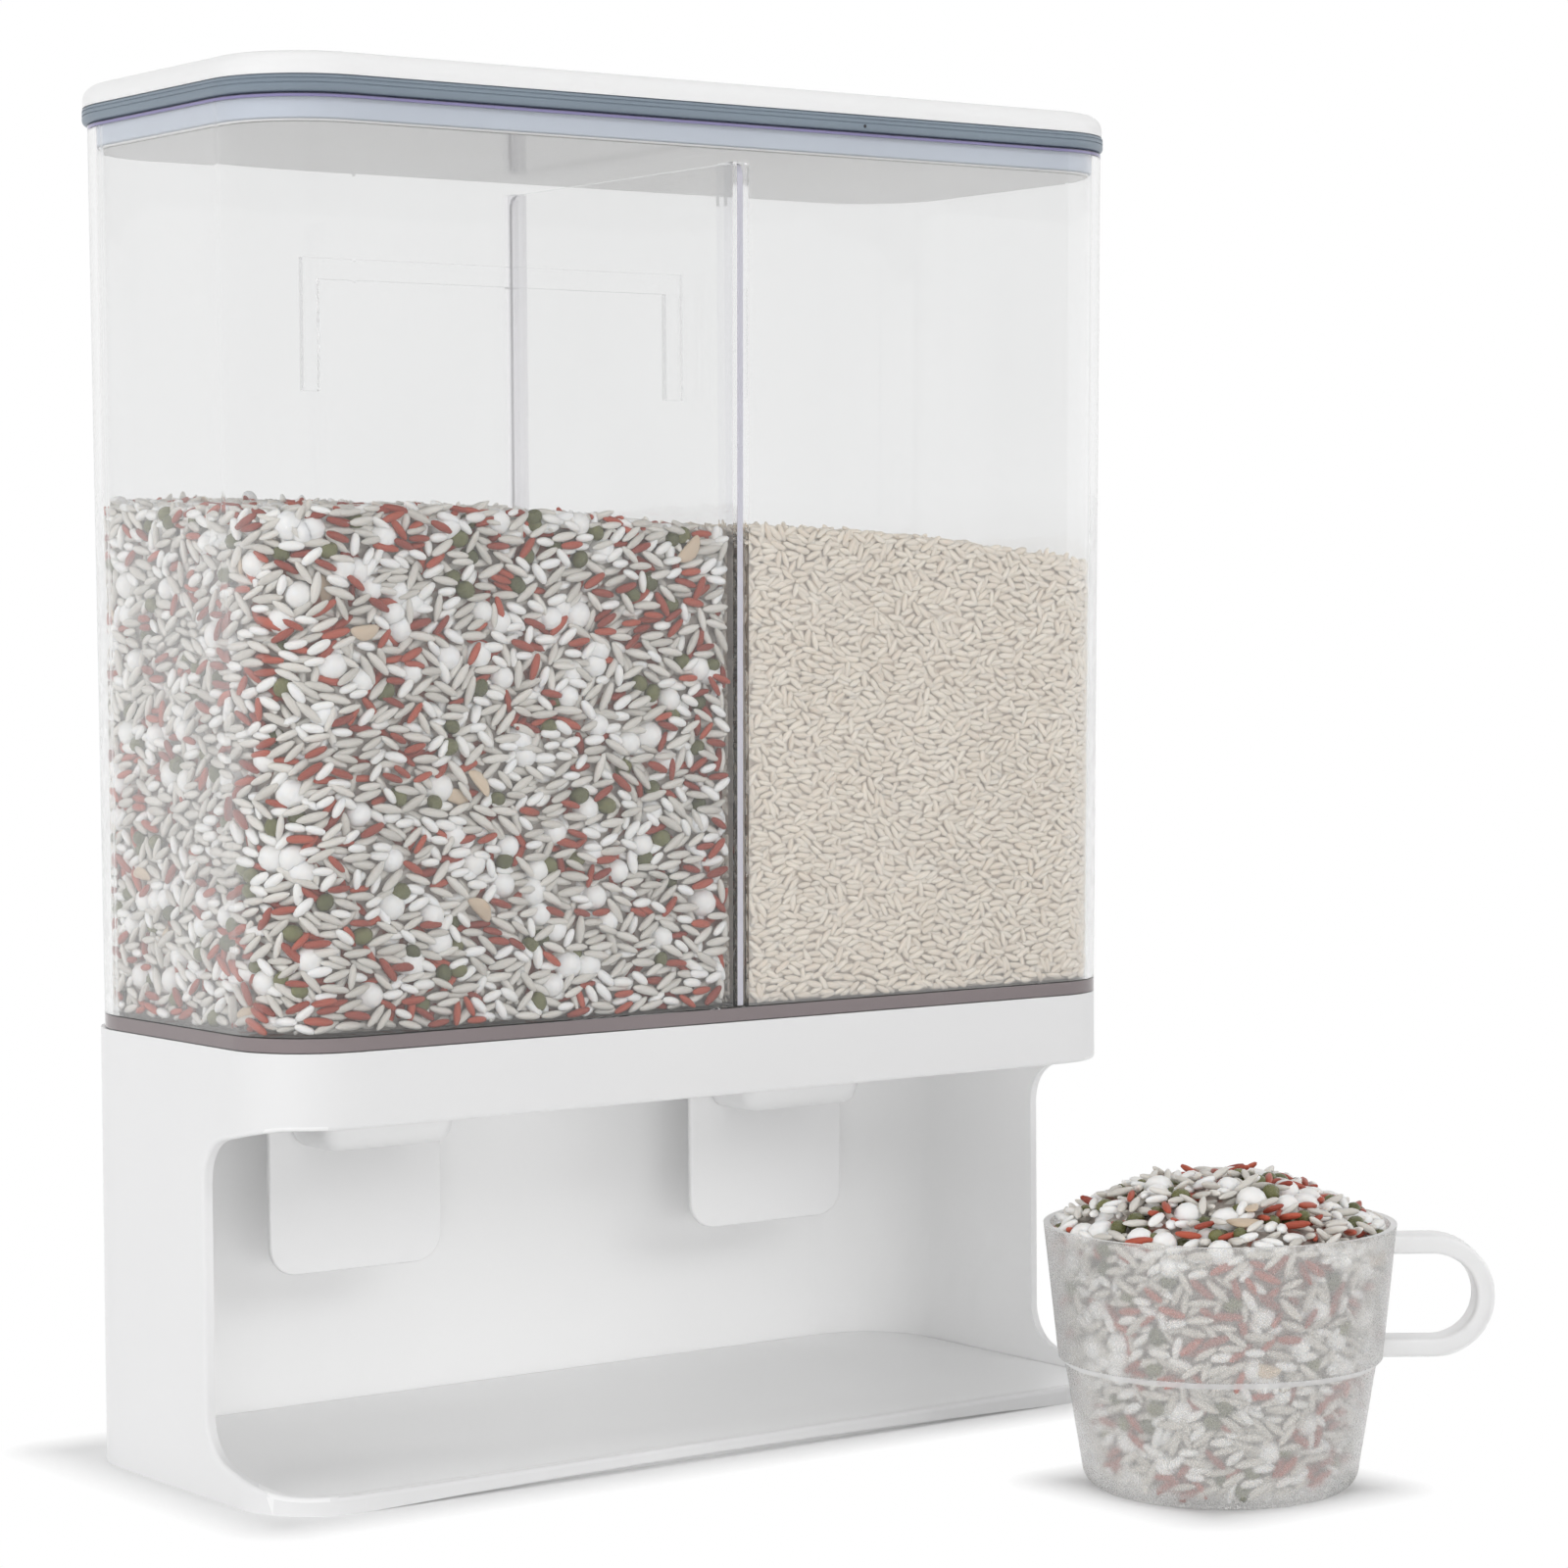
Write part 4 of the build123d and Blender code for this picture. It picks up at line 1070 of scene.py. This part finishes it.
def fill_cup_wall(store):
    """Loose grain behind the cup's wall."""
    low = 3.0
    high = 73.0
    middle_radius = 43.0
    columns = int(2 * math.pi * middle_radius / CELL)
    covered = np.zeros((int((high - low) / CELL), columns), bool)

    def place_at(column, row, depth):
        turn = 2 * math.pi * (column + 0.5) / columns
        height = low + (row + 0.5) * CELL
        radius = cup_radius(height) - depth
        x, y = math.cos(turn), math.sin(turn)
        return (CUP_X + radius * x, CUP_Y + radius * y, height), (-y, x), (-x, -y), middle_radius

    fill_layers(covered, CUP_LAYERS, mixed_shares, place_at, store, wrap=True)


def cup_core():
    """Grain inside the cup, behind the loose layers, up to under the heap's top."""
    def ring(radius, height=None):
        places = []
        for i in range(72):
            angle = 2 * math.pi * i / 72
            x = CUP_X + radius * math.cos(angle)
            y = CUP_Y + radius * math.sin(angle)
            places.append((x, y, float(heap_height(x, y)) - CORE_DROP if height is None else height))
        return places

    heights = (4.0, 8.8, 20.0, CUP_STEP_LOW, CUP_STEP_HIGH, 55.0, 69.0)
    rings = [ring(cup_radius(height) - CORE_DROP, height) for height in heights]
    rings += [ring(radius) for radius in (40.0, 32.0, 22.0, 12.0, 2.0)]
    return ring_solid("cup_core", rings, mixed_pile_painted_shade)


def fill_cup():
    """The cup's grain: loose on its wall and heap, and solid behind."""
    store = {}
    fill_cup_wall(store)
    xs = np.arange(CUP_X - 48, CUP_X + 48, CELL)
    ys = np.arange(CUP_Y - 48, CUP_Y + 48, CELL)
    x, y = np.meshgrid(xs, ys)
    outside = np.hypot(x - CUP_X, y - CUP_Y) > 46.6
    fill_top(outside, xs, ys, heap_height, mixed_shares, store, 7000)
    place_piece(cup_core(), "cup", "cup_grain")
    store_to_objects("cup", store, "cup", "cup_grain")


# Rings round the body

def body_outline(grow, back, height):
    """Rounded outline of the body, grown on its front and sides, with its back at its own distance."""
    near = FRONT_CORNER + grow
    far = REAR_CORNER + grow
    side = HALF_WIDTH + grow
    front = FRONT - grow
    rear = BACK + back
    corners = ((side - near, front + near, near, -90), (side - far, rear - far, far, 0),
               (-side + far, rear - far, far, 90), (-side + near, front + near, near, 180))
    return ring_of_corners(corners, 12, height)


def closed_sweep(name, profile, material, sharp=True):
    """Closed ring round the body from a profile of growth, place of the back and height."""
    rings = [body_outline(*level) for level in profile]
    count = len(rings[0])
    points = np.concatenate([np.array(ring) for ring in rings])
    quads = []
    for ring in range(len(rings)):
        quads += quads_between(ring * count, (ring + 1) % len(rings) * count, count)
    swept = make_mesh_object(name, points * MM, [np.array(quads)], material)
    if sharp:
        swept.data.set_sharp_from_angle(angle=math.radians(35))
    return swept


def add_gasket():
    """Soft ring with two grooves, a fine gap under the lid and a lip inside the tank."""
    profile = [
        (-1.5, -6.9, 377.6), (-0.3, -5.7, 377.6), (0.0, -5.4, 377.9), (0.0, -5.4, 384.3),
        (1.6, -2.0, 384.3), (2.6, -1.0, 384.45), (3.25, -0.35, 384.9), (3.55, -0.05, 385.6),
        (3.6, 0.0, 386.3), (3.58, 0.0, 386.55), (3.3, -0.3, 386.65), (3.3, -0.3, 386.85),
        (3.58, 0.0, 386.95), (3.6, 0.0, 387.4), (3.58, 0.0, 387.75), (3.3, -0.3, 387.85),
        (3.3, -0.3, 388.05), (3.58, 0.0, 388.15), (3.55, -0.05, 388.55), (3.3, -0.3, 388.8),
        (2.4, -1.2, 388.85), (2.4, -1.2, 389.2), (-1.5, -6.9, 389.2),
    ]
    lip_edges = 3
    gasket = closed_sweep("gasket_ring", profile, gasket_rubber)
    gasket.data.materials.append(gasket_lip)
    faces_per_edge = len(gasket.data.polygons) // len(profile)
    for face in gasket.data.polygons:
        face.material_index = 1 if face.index // faces_per_edge < lip_edges else 0
    place_piece(gasket, "lid", "lid_gasket")


def add_vent():
    """Dark dot in the front of the gasket: painted shade for the inside of a small hole."""
    points, triangles, quads = grain_template(0.5, 0.0, 12, 8)
    spot = (points * (0.55, 0.25, 0.55) + (46.8, -66.5, 385.9)) * MM
    vent = make_mesh_object("gasket_vent", spot, [triangles, quads], vent_painted_shade)
    place_piece(vent, "lid")


def add_painted_edge_lines():
    """Edges of the tank's floor and rim, as its clear skin shows them, and of the lid's plug, all painted
    light: a dark band of painted shade at the floor's edge, a purple line of painted light on the rim and a
    white painted highlight under the plug.
    """
    floor_profile = [(-2.0, -4.5, 126.3), (-0.4, -2.9, 126.3), (-0.4, -2.9, 130.0), (-2.0, -4.5, 130.0)]
    rim_profile = [(1.2, -4.2, 383.1), (2.5, -2.9, 383.1), (2.5, -2.9, 383.8), (1.2, -4.2, 383.8)]
    # White ring under the plug's lower edge: a painted highlight line.
    plug_highlight_profile = [(-1.75, -7.15, 376.95), (-1.2, -6.6, 376.95), (-0.9, -6.3, 377.2), (-0.9, -6.3, 377.55),
                    (-1.75, -7.15, 377.55)]
    place_piece(closed_sweep("tank_floor_painted_shade_band", floor_profile, floor_band_painted_shade), "dispenser")
    place_piece(closed_sweep("tank_rim_painted_light_line", rim_profile, rim_painted_light), "dispenser")
    place_piece(closed_sweep("lid_plug_painted_highlight", plug_highlight_profile, white_lid_painted_lighter, sharp=False), "lid")


add_gasket()
add_vent()
add_painted_edge_lines()
fill_chamber("mixed", mixed_shares, mixed_pile_painted_shade, "mixed_grain")
fill_chamber("rice", rice_shares, rice_pile_painted_shade, "rice")
fill_cup()


# Floor and background

def distance_from_box(tree, centre, half_size):
    """Distance of a floor point from an upright box."""
    value = add_node(tree, "TexCoord").outputs["Object"]
    zero = (0, 0, 0)
    steps = (("SUBTRACT", centre), ("ABSOLUTE", zero), ("SUBTRACT", half_size), ("MAXIMUM", zero))
    for operation, operand in steps:
        value = add_node(tree, "VectorMath", {0: value, 1: operand}, operation=operation).outputs["Vector"]
    return add_node(tree, "VectorMath", {0: value}, operation="LENGTH").outputs["Value"]


def add_floor():
    """Pale floor that keeps the shadow near the object and turns white further out."""
    half = 4.0
    corners = [(-half, -half, 0), (half, -half, 0), (half, half, 0), (-half, half, 0)]
    mesh = bpy.data.meshes.new("floor")
    mesh.from_pydata(corners, [], [(0, 1, 2, 3)])
    values = {"Roughness": 0.9, "Specular IOR Level": 0.1}
    material, tree, shader, output = new_material("floor_paper", values)
    set_colour(tree, shader, noise(tree, 500.0), grey(0.93), grey(0.92))
    base_distance = distance_from_box(tree, (0, 0, 0), (HALF_WIDTH * MM, BACK * MM, 0.01))
    cup_distance = distance_from_box(tree, (CUP_X * MM, CUP_Y * MM, 0), (0.028, 0.028, 0.01))
    nearest = calculated(tree, "MINIMUM", base_distance, cup_distance)
    far = ranged(tree, nearest, 0.0, 1.0, from_low=-0.003, from_high=0.02)
    white = add_node(tree, "Emission", {"Color": (1, 1, 1, 1)})
    factor = calculated(tree, "MULTIPLY", far, seen_in_picture(tree))
    mix_shaders(tree, factor, shader.outputs["BSDF"], white.outputs["Emission"], output)
    mesh.materials.append(material)
    link("floor", mesh)


def set_world(ambient):
    """White behind the object, and a plain grey-white light all round it."""
    world = bpy.data.worlds.new("studio")
    bpy.context.scene.world = world
    world.use_nodes = True
    tree = world.node_tree
    tree.nodes.clear()
    output = add_node(tree, "OutputWorld")
    lit = add_node(tree, "Background", {"Color": (1, 1, 1, 1), "Strength": ambient})
    seen = add_node(tree, "Background", {"Color": (1, 1, 1, 1), "Strength": 1.0})
    mix_shaders(tree, seen_in_picture(tree), lit.outputs["Background"], seen.outputs["Background"], output)


add_camera()
add_floor()
set_world(0.2)
add_area_lamp("fill", (-0.9, -2.0, 0.16), (0, 0, 0.12), 1.2, 0.26, 9.8)
add_area_lamp("front_high", (0.15, -1.95, 1.05), (0, 0, 0.1), 1.6, 0.7, 11.0)
add_area_lamp("left", (-2.2, 0.5, 0.45), (0, 0, 0.2), 1.8, 0.8, 21.0)
add_area_lamp("right", (2.1, -1.0, 0.8), (0, 0, 0.15), 1.6, 1.2, 4.0, glossy=True)
add_area_lamp("above", (0.0, -0.2, 2.3), (0, 0, 0.2), 1.6, 1.6, 16.0)
add_area_lamp("behind", (0.9, 2.2, 0.7), (0, 0, 0.2), 1.8, 1.2, 24.0)
add_area_lamp("bay_opening", (-0.01, -0.057, 0.038), (0.0, 0.04, 0.105), 0.24, 0.05, 0.021)
bpy.context.scene.view_settings.view_transform = "Standard"
